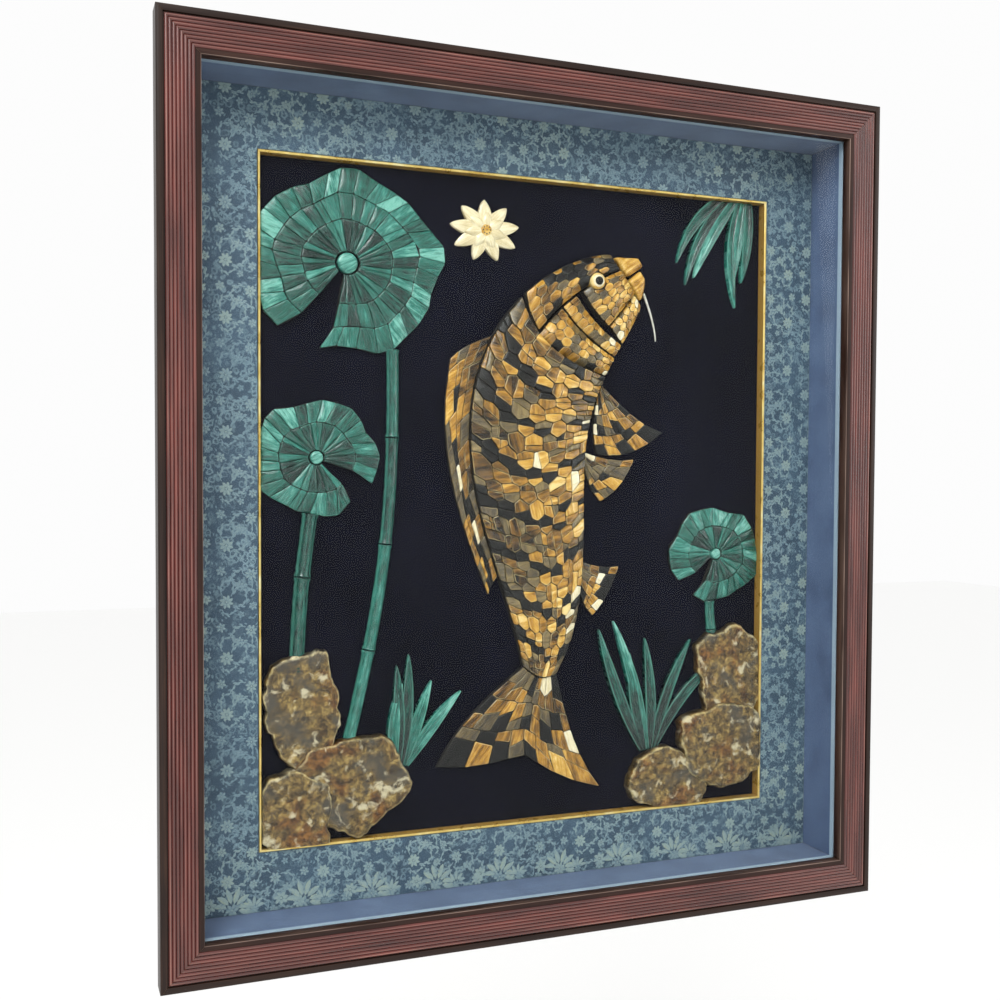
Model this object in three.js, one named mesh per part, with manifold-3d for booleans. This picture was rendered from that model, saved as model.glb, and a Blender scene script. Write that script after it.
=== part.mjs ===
// A stone mosaic panel in a glazed shadow-box frame, made to hang on a wall.
//
// Every piece is drawn lying on its back: u to the right, v up the panel and w out of the wall,
// in millimetres, with w = 0 on the back board's rear face. hang() then stands the panel up, so
// that its front faces -Y, its top +Z, and the origin is the middle of the back.
import * as THREE from 'three';
import { mergeVertices } from 'three/addons/utils/BufferGeometryUtils.js';
import Module from 'manifold-3d';

const wasm = await Module();
wasm.setup();

// ---- driving sizes ------------------------------------------------------------------------
const PANEL_W = 888;
const PANEL_H = 1000;
const PANEL_D = 100;
const FIT = 0.3; // clearance between pieces that touch

const RAIL_W = 45; // the moulding's face
const RAIL_D = 26; // the moulding's depth at its outer edge
const RABBET = 14; // ledge behind the sight edge that holds glass and box walls
const LIP = 14; // thickness of the moulding in front of the glass
const BORDER_W = 7.2; // plain outer border of the face
const GROOVE_W = 1.2;
const BAND_W = 6; // plain band along the sight edge
const REEDS = 8;
const REED_RISE = 1.4;

const GLASS_T = 2;
const WALL_T = 12;
const BACK_T = 4;
const VELVET_T = 7.4;
const MAT_T = 11.7;
const WINDOW_W = 658.6;
const WINDOW_H = 776.2;
const FILLET_W = 3;
const FILLET_RISE = 1; // how far the fillet stands in front of the mat

const SIGHT_W = PANEL_W - 2 * RAIL_W;
const SIGHT_H = PANEL_H - 2 * RAIL_W;
const GLASS_FRONT = PANEL_D - LIP - FIT;
const WALL_FRONT = GLASS_FRONT - GLASS_T - FIT;
const VELVET_FRONT = BACK_T + FIT + VELVET_T;
const BED = VELVET_FRONT + FIT; // the stones' flat backs
const MAT_FRONT = BED + MAT_T;

const COLOURS = {
  rail: 0x5a302c,
  glass: 0xdfe8e6,
  cloth: 0x5f7896,
  brocade: 0x46607f,
  gold: 0xc9a13a,
  velvet: 0x14131c,
  board: 0x8a6f4e,
  scale: 0xa87a35,
  plate: 0xb98a3f,
  fin: 0x8d6a36,
  eye: 0x1a1614,
  wire: 0xd8d2c4,
  leaf: 0x2c8a70,
  stalk: 0x2a7f69,
  blade: 0x3a9a80,
  petal: 0xe6ddc8,
  pod: 0xb9a34c,
  rock: 0x7d6546,
};

// ---- small helpers ------------------------------------------------------------------------
const lerp = (a, b, k) => a + (b - a) * k;

// A repeatable number from 0 to 1 for a pair of whole numbers.
function chance(a, b) {
  const wave = Math.sin(a * 12.9898 + b * 78.233) * 43758.5453;
  return wave - Math.floor(wave);
}

function geometryOf(points, faces) {
  const geometry = new THREE.BufferGeometry();
  geometry.setAttribute('position', new THREE.Float32BufferAttribute(points.flat(), 3));
  geometry.setIndex(faces.flat());
  return geometry;
}

// Triangles that fill a flat outline, turned the same way round as the outline itself.
function fillOutline(outline) {
  const contour = outline.map(([a, b]) => new THREE.Vector2(a, b));
  const forward = THREE.ShapeUtils.area(contour) > 0;
  return THREE.ShapeUtils.triangulateShape(contour, []).map((face) => {
    const isForward = THREE.ShapeUtils.area(face.map((i) => contour[i])) > 0;
    return isForward === forward ? face : [face[0], face[2], face[1]];
  });
}

// A closed solid through rings of points that each run anticlockwise, seen from the last ring.
// Each end is either triangles between the ring's points, or one point that they all meet in.
function stackRings(rings, startCap, endCap) {
  const count = rings[0].length;
  const points = rings.flat();
  const faces = [];
  for (let k = 0; k + 1 < rings.length; k += 1) {
    for (let i = 0; i < count; i += 1) {
      const a = k * count + i;
      const b = k * count + ((i + 1) % count);
      faces.push([a, b, b + count], [a, b + count, a + count]);
    }
  }
  const close = (cap, first, isStart) => {
    const isPoint = typeof cap[0] === 'number';
    if (isPoint) points.push(cap);
    const fill = isPoint
      ? Array.from({ length: count }, (_, i) => [i, (i + 1) % count, points.length - 1 - first])
      : cap;
    fill.forEach(([a, b, c]) => {
      faces.push(isStart ? [first + a, first + c, first + b] : [first + a, first + b, first + c]);
    });
  };
  close(startCap, 0, true);
  close(endCap, (rings.length - 1) * count, false);
  return geometryOf(points, faces);
}

function box(width, height, low, high) {
  const geometry = new THREE.BoxGeometry(width, height, high - low);
  geometry.translate(0, 0, (low + high) / 2);
  return geometry;
}

const areaOf = (outline) =>
  THREE.ShapeUtils.area(outline.map(([a, b]) => new THREE.Vector2(a, b)));

const anticlockwise = (outline) => (areaOf(outline) < 0 ? outline.slice().reverse() : outline);

function middleOf(outline) {
  const sum = outline.reduce(([a, b], [u, v]) => [a + u, b + v], [0, 0]);
  return [sum[0] / outline.length, sum[1] / outline.length];
}

// The outline drawn in towards its middle, or out from it by a distance in millimetres.
const shrink = (outline, [mu, mv], k) =>
  outline.map(([u, v]) => [lerp(mu, u, k), lerp(mv, v, k)]);

function grow(outline, distance) {
  const [mu, mv] = middleOf(outline);
  return outline.map(([u, v]) => {
    const reach = Math.hypot(u - mu, v - mv);
    return [mu + (u - mu) * (1 + distance / reach), mv + (v - mv) * (1 + distance / reach)];
  });
}

// ---- boolean joins and cuts ---------------------------------------------------------------
function toManifold(geometry) {
  const position = geometry.getAttribute('position');
  return new wasm.Manifold(new wasm.Mesh({
    numProp: 3,
    vertProperties: new Float32Array(position.array),
    triVerts: new Uint32Array(geometry.getIndex().array),
  }));
}

function mergeCorners(geometry) {
  geometry.deleteAttribute('normal');
  geometry.deleteAttribute('uv');
  return mergeVertices(geometry);
}

function fromManifold(manifold) {
  const mesh = manifold.getMesh();
  const geometry = new THREE.BufferGeometry();
  geometry.setAttribute('position', new THREE.BufferAttribute(mesh.vertProperties, 3));
  geometry.setIndex(new THREE.BufferAttribute(mesh.triVerts, 1));
  return geometry;
}

const join = (geometries) => fromManifold(wasm.Manifold.union(geometries.map(toManifold)));

// An upright block on an outline of any shape.
function block(outline) {
  const rim = anticlockwise(outline);
  const ring = (w) => rim.map(([u, v]) => [u, v, w]);
  const fill = fillOutline(rim);
  return toManifold(stackRings([ring(0), ring(PANEL_D)], fill, fill));
}

// The same for a round outline, a little wider, to trim the pieces that lie behind a piece.
function footprint(outline) {
  const wide = grow(anticlockwise(outline), 2 * FIT);
  const [mu, mv] = middleOf(wide);
  const ring = (w) => wide.map(([u, v]) => [u, v, w]);
  return toManifold(stackRings([ring(0), ring(PANEL_D)], [mu, mv, 0], [mu, mv, PANEL_D]));
}

// A piece of the picture, trimmed by the outlines in front of it and by the gold fillet.
function trim(geometry, outlines = []) {
  const margin = 2 * (FILLET_W + 2 * FIT);
  const opening = toManifold(mergeCorners(box(WINDOW_W - margin, WINDOW_H - margin, 0, PANEL_D)));
  return fromManifold(outlines.reduce((rest, outline) => rest.subtract(footprint(outline)),
    toManifold(geometry).intersect(opening)));
}

// ---- frame, box and boards ----------------------------------------------------------------
// The moulding's section: a is the distance in from the outer edge, w the height.
function railProfile() {
  const face = PANEL_D;
  const valley = face - REED_RISE;
  const reedStart = RAIL_W - BAND_W;
  const pitch = (reedStart - BORDER_W - GROOVE_W) / REEDS;
  const points = [
    [0, face - RAIL_D],
    [RAIL_W - RABBET, face - RAIL_D],
    [RAIL_W - RABBET, face - LIP],
    [RAIL_W, face - LIP],
    [RAIL_W, valley - 0.4],
    [RAIL_W - 0.8, valley + 0.4],
    [reedStart + 0.3, valley + 0.4],
  ];
  for (let reed = 0; reed < REEDS; reed += 1) {
    for (const step of [0, 0.3, 0.7]) {
      points.push([reedStart - (reed + step) * pitch, valley + REED_RISE * Math.sin(Math.PI * step)]);
    }
  }
  points.push(
    [BORDER_W + GROOVE_W, valley],
    [BORDER_W + GROOVE_W, valley - 1],
    [BORDER_W, valley - 1],
    [BORDER_W, face - 0.7],
    [BORDER_W - 0.8, face],
    [1.4, face],
    [0, face - 1.2],
  );
  return points;
}

// Four mitred lengths of one section around a rectangle, named bottom, right, top and left.
function mitredFrame(name, width, height, profile, material, group) {
  ['bottom', 'right', 'top', 'left'].forEach((side, turn) => {
    const along = turn % 2 === 0 ? width : height;
    const across = turn % 2 === 0 ? height : width;
    const end = (sign) => profile.map(([a, w]) => [
      sign * (along / 2 - a - FIT / 2),
      a - across / 2,
      w,
    ]);
    const fill = fillOutline(profile);
    const geometry = stackRings([end(-1), end(1)], fill, fill);
    geometry.rotateZ(turn * Math.PI / 2);
    addPiece(group, `${name}_${side}`, geometry, material);
  });
}

function matBoard() {
  const plate = new THREE.Shape([
    new THREE.Vector2(-SIGHT_W / 2 + FIT, -SIGHT_H / 2 + FIT),
    new THREE.Vector2(SIGHT_W / 2 - FIT, -SIGHT_H / 2 + FIT),
    new THREE.Vector2(SIGHT_W / 2 - FIT, SIGHT_H / 2 - FIT),
    new THREE.Vector2(-SIGHT_W / 2 + FIT, SIGHT_H / 2 - FIT),
  ]);
  plate.holes.push(new THREE.Path([
    new THREE.Vector2(-WINDOW_W / 2, -WINDOW_H / 2),
    new THREE.Vector2(-WINDOW_W / 2, WINDOW_H / 2),
    new THREE.Vector2(WINDOW_W / 2, WINDOW_H / 2),
    new THREE.Vector2(WINDOW_W / 2, -WINDOW_H / 2),
  ]));
  const geometry = new THREE.ExtrudeGeometry(plate, { depth: MAT_T, bevelEnabled: false });
  geometry.translate(0, 0, BED);
  return geometry;
}

function addBox(group) {
  const wallLow = BACK_T + FIT;
  const wallProfile = [[0, wallLow], [WALL_T, wallLow], [WALL_T, WALL_FRONT], [0, WALL_FRONT]];
  mitredFrame('frame', PANEL_W, PANEL_H, railProfile(), paint('rail', 0.4), group);
  mitredFrame('box_wall', SIGHT_W + 2 * WALL_T, SIGHT_H + 2 * WALL_T, wallProfile,
    paint('cloth', 0.9), group);
  const spread = 2 * (WALL_T - 1);
  addPiece(group, 'glass_pane',
    box(SIGHT_W + spread, SIGHT_H + spread, GLASS_FRONT - GLASS_T, GLASS_FRONT),
    new THREE.MeshStandardMaterial({
      color: COLOURS.glass, roughness: 0.03, transparent: true, opacity: 0.15,
    }));
  addPiece(group, 'back_board', box(SIGHT_W + 2 * WALL_T, SIGHT_H + 2 * WALL_T, 0, BACK_T),
    paint('board', 0.8));
  addPiece(group, 'velvet_board',
    box(SIGHT_W - 2 * FIT, SIGHT_H - 2 * FIT, BACK_T + FIT, VELVET_FRONT), paint('velvet', 1));
  addPiece(group, 'brocade_mat', matBoard(), paint('brocade', 0.8));
  const filletTop = MAT_FRONT + FILLET_RISE;
  const filletProfile = [
    [0, BED],
    [FILLET_W, BED],
    [FILLET_W, filletTop - 0.6],
    [FILLET_W - 0.6, filletTop],
    [0.6, filletTop],
    [0, filletTop - 0.6],
  ];
  mitredFrame('fillet', WINDOW_W - 2 * FIT, WINDOW_H - 2 * FIT, filletProfile,
    paint('gold', 0.35, 0.8), group);
}

// ---- stones -------------------------------------------------------------------------------
// One cut stone on the velvet: an upright edge, a bevel and a low dome over its outline.
function stone(outline, { edge, crown, bevel = 0.86, dome = 0.45, flat = false }) {
  const rim = anticlockwise(outline);
  const middle = middleOf(rim);
  const level = (ring, w) => ring.map(([u, v]) => [u, v, BED + w]);
  const rings = [
    level(rim, 0),
    level(rim, edge),
    level(shrink(rim, middle, bevel), flat ? crown : lerp(edge, crown, 0.6)),
  ];
  if (!flat) rings.push(level(shrink(rim, middle, dome), lerp(edge, crown, 0.92)));
  return stackRings(rings, [...middle, BED], [...middle, BED + crown]);
}

// The corners of tiles laid in courses like bricks. Each course's joints fall on every second
// half tile, and stagger shifts them from course to course; with stagger 0 they run straight on.
// point is how far the tiles' ends are drawn out, jitter how far the corners stray.
function tileCorners({ rows, cols, point, jitter, stagger }) {
  const ends = [0, cols * 2];
  const isJoint = (row, half) => ends.includes(half) || (half + row * stagger) % 2 === 0;
  const isCorner = (line, half) =>
    (line > 0 && isJoint(line - 1, half)) || (line < rows && isJoint(line, half));
  const spot = (line, half) => {
    const isInside = line > 0 && line < rows;
    const stray = isInside ? (chance(half, line) - 0.5) * jitter : 0;
    if (!isInside || ends.includes(half)) return [line + stray, half / 2];
    const drawn = isJoint(line, half) ? point : -point;
    return [line + stray + drawn, half / 2 + (chance(line, half) - 0.5) * jitter];
  };
  return { isJoint, isCorner, spot };
}

// The corners round one sheet of tiles, from its first corner and back to it.
function sheetRim(rows, cols, isCorner) {
  const last = cols * 2;
  const halves = Array.from({ length: last }, (_, i) => i);
  const lines = Array.from({ length: rows }, (_, i) => i);
  return [
    ...halves.filter((half) => isCorner(0, half)).map((half) => [0, half]),
    ...lines.map((line) => [line, last]),
    ...halves.map((half) => last - half).filter((half) => isCorner(rows, half))
      .map((half) => [rows, half]),
    ...lines.map((line) => [rows - line, 0]),
  ];
}

// A sheet of tiles, each with its own bevelled top, in one piece on the velvet.
// place(r, c) gives a point of the sheet, lift(r, c) its height; r counts courses and c tiles.
// gap is the bevels' width, sink the joints' depth, step how much each tile's far end stands up.
function tileSheet({ rows, cols, place, lift, gap = 0.09, sink = 1.6, point = 0, step = 0,
  jitter = 0, stagger = 1 }) {
  const points = [];
  const faces = [];
  const { isJoint, isCorner, spot } = tileCorners({ rows, cols, point, jitter, stagger });
  const addPoint = (r, c, w) => {
    const [u, v] = place(r, c);
    points.push([u, v, BED + w]);
    return points.length - 1;
  };

  const grooves = new Map();
  for (let line = 0; line <= rows; line += 1) {
    for (let half = 0; half <= cols * 2; half += 1) {
      if (isCorner(line, half)) {
        const [r, c] = spot(line, half);
        grooves.set(`${line},${half}`, addPoint(r, c, lift(r, c) - sink));
      }
    }
  }
  const grooveAt = ([line, half]) => grooves.get(`${line},${half}`);

  const addTile = (row, left, right) => {
    const run = (line) => {
      const halves = Array.from({ length: right - left + 1 }, (_, i) => left + i);
      return halves.filter((half) => isCorner(line, half)).map((half) => [line, half]);
    };
    const loop = [...run(row), ...run(row + 1).reverse()];
    const spots = loop.map(([line, half]) => spot(line, half));
    const middle = middleOf(spots);
    const across = spots.map(([, c]) => c);
    const width = Math.max(...across) - Math.min(...across);
    const top = spots.map(([r, c]) => {
      const topR = lerp(r, middle[0], 2 * gap);
      const topC = lerp(c, middle[1], 2 * gap / Math.max(width, 0.4));
      return addPoint(topR, topC, lift(topR, topC) + step * (topR - row));
    });
    const low = loop.map(grooveAt);
    low.forEach((a, i) => {
      const j = (i + 1) % low.length;
      faces.push([a, top[j], low[j]], [a, top[i], top[j]]);
    });
    for (let i = 1; i + 1 < top.length; i += 1) {
      faces.push([top[0], top[i + 1], top[i]]);
    }
  };
  for (let row = 0; row < rows; row += 1) {
    let left = 0;
    for (let half = 1; half <= cols * 2; half += 1) {
      if (isJoint(row, half)) {
        addTile(row, left, half);
        left = half;
      }
    }
  }

  const upper = sheetRim(rows, cols, isCorner).map(grooveAt);
  const lower = upper.map((i) => {
    points.push([points[i][0], points[i][1], BED]);
    return points.length - 1;
  });
  upper.forEach((a, i) => {
    const j = (i + 1) % upper.length;
    faces.push([a, upper[j], lower[j]], [a, lower[j], lower[i]]);
  });
  const outline = lower.map((i) => [points[i][0], points[i][1]]);
  fillOutline(outline).forEach(([a, b, c]) => faces.push([lower[a], lower[b], lower[c]]));
  const turned = areaOf(outline) < 0 ? faces : faces.map(([a, b, c]) => [a, c, b]);
  return geometryOf(points, turned);
}

// A long leaf or rod along a path, with a narrow ridge down its middle. Its section is given
// across the path, to the left positive; half(k) is the half width and edge the edge's height.
function ridgedBlade(path, half, edge, ridge, steps) {
  const section = (top) => [[-1, 0], [1, 0], [1, edge], [0.35, top], [-0.35, top], [-1, edge]];
  const rings = [];
  for (let i = 0; i <= steps; i += 1) {
    const k = i / steps;
    const [u, v] = path(k);
    const [u2, v2] = path(k + 0.001);
    const [u1, v1] = path(k - 0.001);
    const length = Math.hypot(u2 - u1, v2 - v1);
    const across = [-(v2 - v1) / length, (u2 - u1) / length];
    const h = half(k);
    const top = lerp(edge, ridge, Math.min(1, h / half(0.5)));
    rings.push(section(top).map(([side, w]) =>
      [u + across[0] * side * h, v + across[1] * side * h, BED + w]));
  }
  const fill = fillOutline(section(ridge));
  return stackRings(rings, fill, fill);
}

// ---- the carp -----------------------------------------------------------------------------
const CARP = {
  snout: [146, 288],
  root: [-52, -186],
  wave: 70,
  turns: 0.72,
  half: 73,
  blunt: 0.007,
  rootHalf: 18,
  rows: 21,
  cols: 7,
  gill: 0.235,
  bow: 0.045,
};

// The spine runs from the snout (s = 0) to the root of the tail (s = 1) in one long wave.
function spine(s) {
  const du = CARP.root[0] - CARP.snout[0];
  const dv = CARP.root[1] - CARP.snout[1];
  const length = Math.hypot(du, dv);
  const swing = CARP.wave * Math.sin(2 * Math.PI * CARP.turns * s);
  return [
    CARP.snout[0] + du * s + swing * dv / length,
    CARP.snout[1] + dv * s - swing * du / length,
  ];
}

function spineFrame(s) {
  const [u0, v0] = spine(s - 0.001);
  const [u1, v1] = spine(s + 0.001);
  const length = Math.hypot(u1 - u0, v1 - v0);
  const along = [(u1 - u0) / length, (v1 - v0) / length];
  return { at: spine(s), along, out: [along[1], -along[0]] };
}

function carpHalf(s) {
  const k = Math.min(Math.max(s, 0), 1);
  return CARP.half * Math.sqrt(k + CARP.blunt) * (1 - k) ** 0.9 / 0.402 + CARP.rootHalf * k ** 1.5;
}

// A point of the fish: s along the spine, t from the belly (-1) to the back (1), and beyond.
function onCarp(s, t, extra = 0) {
  const { at, out } = spineFrame(s);
  const reach = t * carpHalf(s) + extra * Math.sign(t);
  return [at[0] + out[0] * reach, at[1] + out[1] * reach];
}

function carpLift(s, t) {
  const round = Math.sqrt(Math.max(0, 1 - 0.9 * t * t));
  return 6 + 17 * round * (carpHalf(s) / CARP.half) ** 0.8;
}

// A line across the fish, as a place along the spine for each t, bowed back in its middle.
const bowed = (start, bow) => (t) => start + bow * (1 - t * t);
const gillLine = bowed(CARP.gill, CARP.bow);
const rootLine = bowed(0.98, 0.016);

// The whole fish's outline, drawn a little outside its edge.
function carpOutline(margin) {
  const steps = 40;
  const side = (t) => Array.from({ length: steps }, (_, i) =>
    onCarp(lerp(0.002, 0.99, i / (steps - 1)), t, margin));
  return [...side(1), ...side(-1).reverse()];
}

function carpBody() {
  const sOf = (r, t) => lerp(gillLine(t), rootLine(t), r / CARP.rows);
  const tOf = (c) => 2 * c / CARP.cols - 1;
  return tileSheet({
    rows: CARP.rows,
    cols: CARP.cols,
    place: (r, c) => onCarp(sOf(r, tOf(c)), tOf(c)),
    lift: (r, c) => carpLift(sOf(r, tOf(c)), tOf(c)),
    point: 0.2,
    step: 1.6,
    jitter: 0.12,
  });
}

// A four-sided outline on the head between two lines across it, given as functions of t.
function headOutline({ front, rear, low, high }, steps = 4) {
  const corner = (k, m) => {
    const t = lerp(low, high, k);
    return onCarp(lerp(rear(t), front(t), m), t);
  };
  const side = (place) => Array.from({ length: steps }, (_, i) => place(i / steps));
  return [
    ...side((k) => corner(k, 0)),
    ...side((k) => corner(1, k)),
    ...side((k) => corner(1 - k, 1)),
    ...side((k) => corner(0, 1 - k)),
  ];
}

const EYE = { s: 0.098, t: 0.4, radius: 10.5 };
const LIP_LINE = 0.034; // where the lips end, along the spine
const SEAM = 0.004; // the gap between two plates

function circle([u, v], radius, count) {
  return Array.from({ length: count }, (_, i) => {
    const angle = 2 * Math.PI * i / count;
    return [u + radius * Math.cos(angle), v + radius * Math.sin(angle)];
  });
}

function addHead(group) {
  const socket = circle(onCarp(EYE.s, EYE.t), EYE.radius, 12);
  const lip = () => LIP_LINE;
  const afterLip = () => LIP_LINE + SEAM;
  const plates = {
    upper_lip: { front: () => -0.012, rear: lip, low: 0.06, high: 0.92, edge: 7, crown: 13 },
    lower_lip: { front: () => -0.002, rear: lip, low: -0.92, high: -0.06, edge: 6, crown: 11 },
    crown_plate: {
      front: afterLip,
      rear: (t) => gillLine(t) - 3 * SEAM,
      low: 0.42,
      high: 1,
      edge: 9,
      crown: 17,
    },
    cheek_plate: {
      front: afterLip,
      rear: bowed(0.118, 0.02),
      low: -0.5,
      high: 0.38,
      edge: 11,
      crown: 20,
    },
    jaw_plate: { front: afterLip, rear: () => 0.128, low: -1, high: -0.54, edge: 7, crown: 13 },
    gill_front: {
      front: bowed(0.134, 0.02),
      rear: bowed(0.168, 0.024),
      low: -0.97,
      high: 0.38,
      edge: 10,
      crown: 18,
    },
    gill_cover: {
      front: bowed(0.173, 0.024),
      rear: (t) => gillLine(t) - SEAM,
      low: -0.98,
      high: 0.38,
      edge: 11,
      crown: 23,
    },
  };
  for (const [name, plate] of Object.entries(plates)) {
    const body = stone(headOutline(plate), { edge: plate.edge, crown: plate.crown });
    const holdsEye = ['crown_plate', 'cheek_plate'].includes(name);
    addPiece(group, `carp_${name}`, holdsEye ? trim(body, [socket]) : body, paint('plate', 0.3));
  }
  addPiece(group, 'carp_eye', stone(socket, { edge: 15, crown: 21 }), paint('eye', 0.15));
}

// A fin as a fan of tiles: it springs from the fish between two places and spreads outwards.
function fan({ base, sweep, reach, rows, cols, low, high }) {
  return tileSheet({
    rows,
    cols,
    place: (r, c) => {
      const k = c / cols;
      const root = base(k);
      const angle = sweep(k) + 0.16 * (r / rows) ** 2;
      const far = reach(k) * r / rows;
      return [root[0] + far * Math.cos(angle), root[1] + far * Math.sin(angle)];
    },
    lift: (r, c) => lerp(high, low, r / rows) + 1.2 * Math.sin(Math.PI * c / cols),
    gap: 0.07,
    jitter: 0.1,
  });
}

const angleOf = ([u, v]) => Math.atan2(v, u);

// The direction between straight out from the fish's side (k = 0) and straight back (k = 1).
function swept(s, t, k) {
  const { along, out } = spineFrame(s);
  const outwards = angleOf([out[0] * t, out[1] * t]);
  const turn = angleOf(along) - outwards;
  return outwards + k * Math.atan2(Math.sin(turn), Math.cos(turn));
}

function addFins(group) {
  const tailAngle = angleOf(spineFrame(1).along);
  const spread = 1.02;
  const fins = {
    tail_fin: {
      base: (k) => onCarp(rootLine(1 - 2 * k) + 0.0015, 1 - 2 * k),
      sweep: (k) => tailAngle + spread * (k - 0.5) * 1.15 - 0.06,
      reach: (k) => 96 + 62 * Math.abs(2 * k - 1) ** 1.4,
      rows: 3,
      cols: 8,
      low: 5,
      high: 9,
    },
    dorsal_fin: {
      base: (k) => onCarp(lerp(0.32, 0.76, k), 1, 0.9),
      sweep: (k) => swept(lerp(0.32, 0.76, k), 1, 0.52),
      reach: (k) => lerp(58, 24, k ** 0.7),
      rows: 2,
      cols: 10,
      low: 4.5,
      high: 7,
    },
    pectoral_fin: {
      base: (k) => onCarp(lerp(0.262, 0.31, k), -1, 1.2),
      sweep: (k) => swept(0.28, -1, lerp(0.1, 0.72, k)),
      reach: (k) => 104 - 34 * k,
      rows: 3,
      cols: 5,
      low: 4.5,
      high: 8,
    },
    pelvic_fin: {
      base: (k) => onCarp(lerp(0.52, 0.56, k), -1, 1.2),
      sweep: (k) => swept(0.54, -1, lerp(0.2, 0.8, k)),
      reach: (k) => 70 - 22 * k,
      rows: 2,
      cols: 4,
      low: 4.5,
      high: 7,
    },
    anal_fin: {
      base: (k) => onCarp(lerp(0.76, 0.82, k), -1, 1.2),
      sweep: (k) => swept(0.8, -1, lerp(0.25, 0.8, k)),
      reach: (k) => 52 - 18 * k,
      rows: 2,
      cols: 4,
      low: 4.5,
      high: 7,
    },
  };
  const fish = block(carpOutline(3 * FIT));
  for (const [name, shape] of Object.entries(fins)) {
    const fin = toManifold(fan(shape));
    const fitted = name === 'tail_fin' ? fin : fin.subtract(fish);
    addPiece(group, `carp_${name}`, fromManifold(fitted), paint('fin', 0.35));
  }
}

function wire(path, radius, steps) {
  return ridgedBlade(path, (k) => radius * lerp(1, 0.45, k), 0.8, 2 * radius, steps);
}

function addBarbel(group) {
  const start = onCarp(0.012, -0.98, 3.4);
  const { along, out } = spineFrame(0.02);
  const curl = (length, bend) => (k) => [
    start[0] - out[0] * length * k + along[0] * bend * k * k,
    start[1] - out[1] * length * k + along[1] * bend * k * k - 0.5 * length * k * (1 - k),
  ];
  addPiece(group, 'carp_barbel', wire(curl(58, 20), 1.4, 6), paint('wire', 0.4));
}

// ---- plants -------------------------------------------------------------------------------
// A round leaf of wedge-cut stones, with a notch like a water lily's.
function onLeaf({ at, radius, seed }, angle, k) {
  const wave = 1 + 0.05 * Math.sin(5 * angle + seed) + 0.03 * Math.sin(9 * angle);
  const reach = lerp(0.13, 1, k ** 0.85) * radius * lerp(1, wave, k);
  const swirl = angle + 0.1 * Math.sin(Math.PI * k);
  return [at[0] + reach * Math.cos(swirl), at[1] + 0.9 * reach * Math.sin(swirl)];
}

function lotusLeaf(leaf) {
  const { rows, cols, notch } = leaf;
  const open = 0.24;
  return tileSheet({
    rows,
    cols,
    place: (r, c) => onLeaf(leaf, notch + open + (2 * Math.PI - 2 * open) * (c / cols), r / rows),
    lift: (r, c) => 5 + 4 * Math.sin(Math.PI * Math.min(1, r / rows + 0.15)) + 0.8 * Math.sin(4 * c),
    gap: 0.06,
    jitter: 0.04,
    stagger: 0,
  });
}

const LEAVES = [
  { name: 'leaf_large', at: [-226, 272], radius: 112, rows: 3, cols: 15, notch: -2.1, seed: 0.4 },
  { name: 'leaf_middle', at: [-262, 52], radius: 72, rows: 2, cols: 12, notch: -0.7, seed: 2.1 },
  { name: 'leaf_small', at: [262, -66], radius: 66, rows: 2, cols: 11, notch: -2.3, seed: 4.0 },
];

const LEAF_SIDES = 60; // of the outline that trims what lies behind a leaf

// Stalks are rods of polished stone in several lengths; ends flare a little where they join.
const STALKS = [
  { name: 'stalk_left', from: [-284, -290], to: [-264, 20], bend: 8, half: 9, joints: 3 },
  { name: 'stalk_middle', from: [-228, -290], to: [-172, 200], bend: -20, half: 7.5, joints: 4 },
  { name: 'stalk_right', from: [274, -236], to: [256, -90], bend: 6, half: 6.5, joints: 2 },
];

function stalkPath({ from, to, bend }) {
  const length = Math.hypot(to[0] - from[0], to[1] - from[1]);
  const side = [-(to[1] - from[1]) / length, (to[0] - from[0]) / length];
  return (k) => [
    lerp(from[0], to[0], k) + side[0] * bend * Math.sin(Math.PI * k),
    lerp(from[1], to[1], k) + side[1] * bend * Math.sin(Math.PI * k),
  ];
}

function addStalk(group, stalk, front) {
  const perLength = 3;
  const half = (k) => {
    const place = (k * stalk.joints) % 1;
    const near = Math.min(place, 1 - place);
    return stalk.half * (near < 0.02 ? 1.22 : 1);
  };
  const body = ridgedBlade(stalkPath(stalk), half, stalk.half * 0.55, stalk.half * 1.1,
    stalk.joints * perLength);
  addPiece(group, stalk.name, trim(body, front), paint('stalk', 0.25));
}

// A tuft of long pointed leaves that spring from one foot.
const TUFTS = [
  { name: 'reed_tuft_right', foot: [166, -312], low: 1.2, high: 2.02, count: 6, reach: 176 },
  { name: 'reed_tuft_left', foot: [-162, -306], low: 1.05, high: 1.75, count: 5, reach: 132 },
  { name: 'willow_spray', foot: [296, 396], low: -2.75, high: -1.5, count: 6, reach: 150 },
];

const ROOT_GAP = 3.7;

function reedTuft({ foot, low, high, count, reach }, seed) {
  const blades = [];
  for (let i = 0; i < count; i += 1) {
    const angle = lerp(low, high, i / (count - 1)) + 0.12 * (chance(i, seed) - 0.5);
    const length = reach * lerp(0.7, 1, chance(seed, i));
    const droop = 0.55 * (chance(i + 9, seed) - 0.5) - 0.25 * Math.cos(angle);
    const start = foot[0] + ROOT_GAP * ((count - 1) / 2 - i) * Math.sign(Math.sin(angle));
    const path = (k) => [
      start + length * k * Math.cos(angle + droop * k),
      foot[1] + length * k * Math.sin(angle + droop * k),
    ];
    const half = (k) => 0.7 + 7 * Math.sin(Math.PI * Math.min(1, 0.1 + 0.9 * k)) ** 0.8;
    blades.push(ridgedBlade(path, half, 3 + 0.35 * i, 5.5 + 0.6 * i, 4));
  }
  return join(blades);
}

// ---- blossom ------------------------------------------------------------------------------
const BLOSSOM = { at: [-58, 322], length: 44 };

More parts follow.
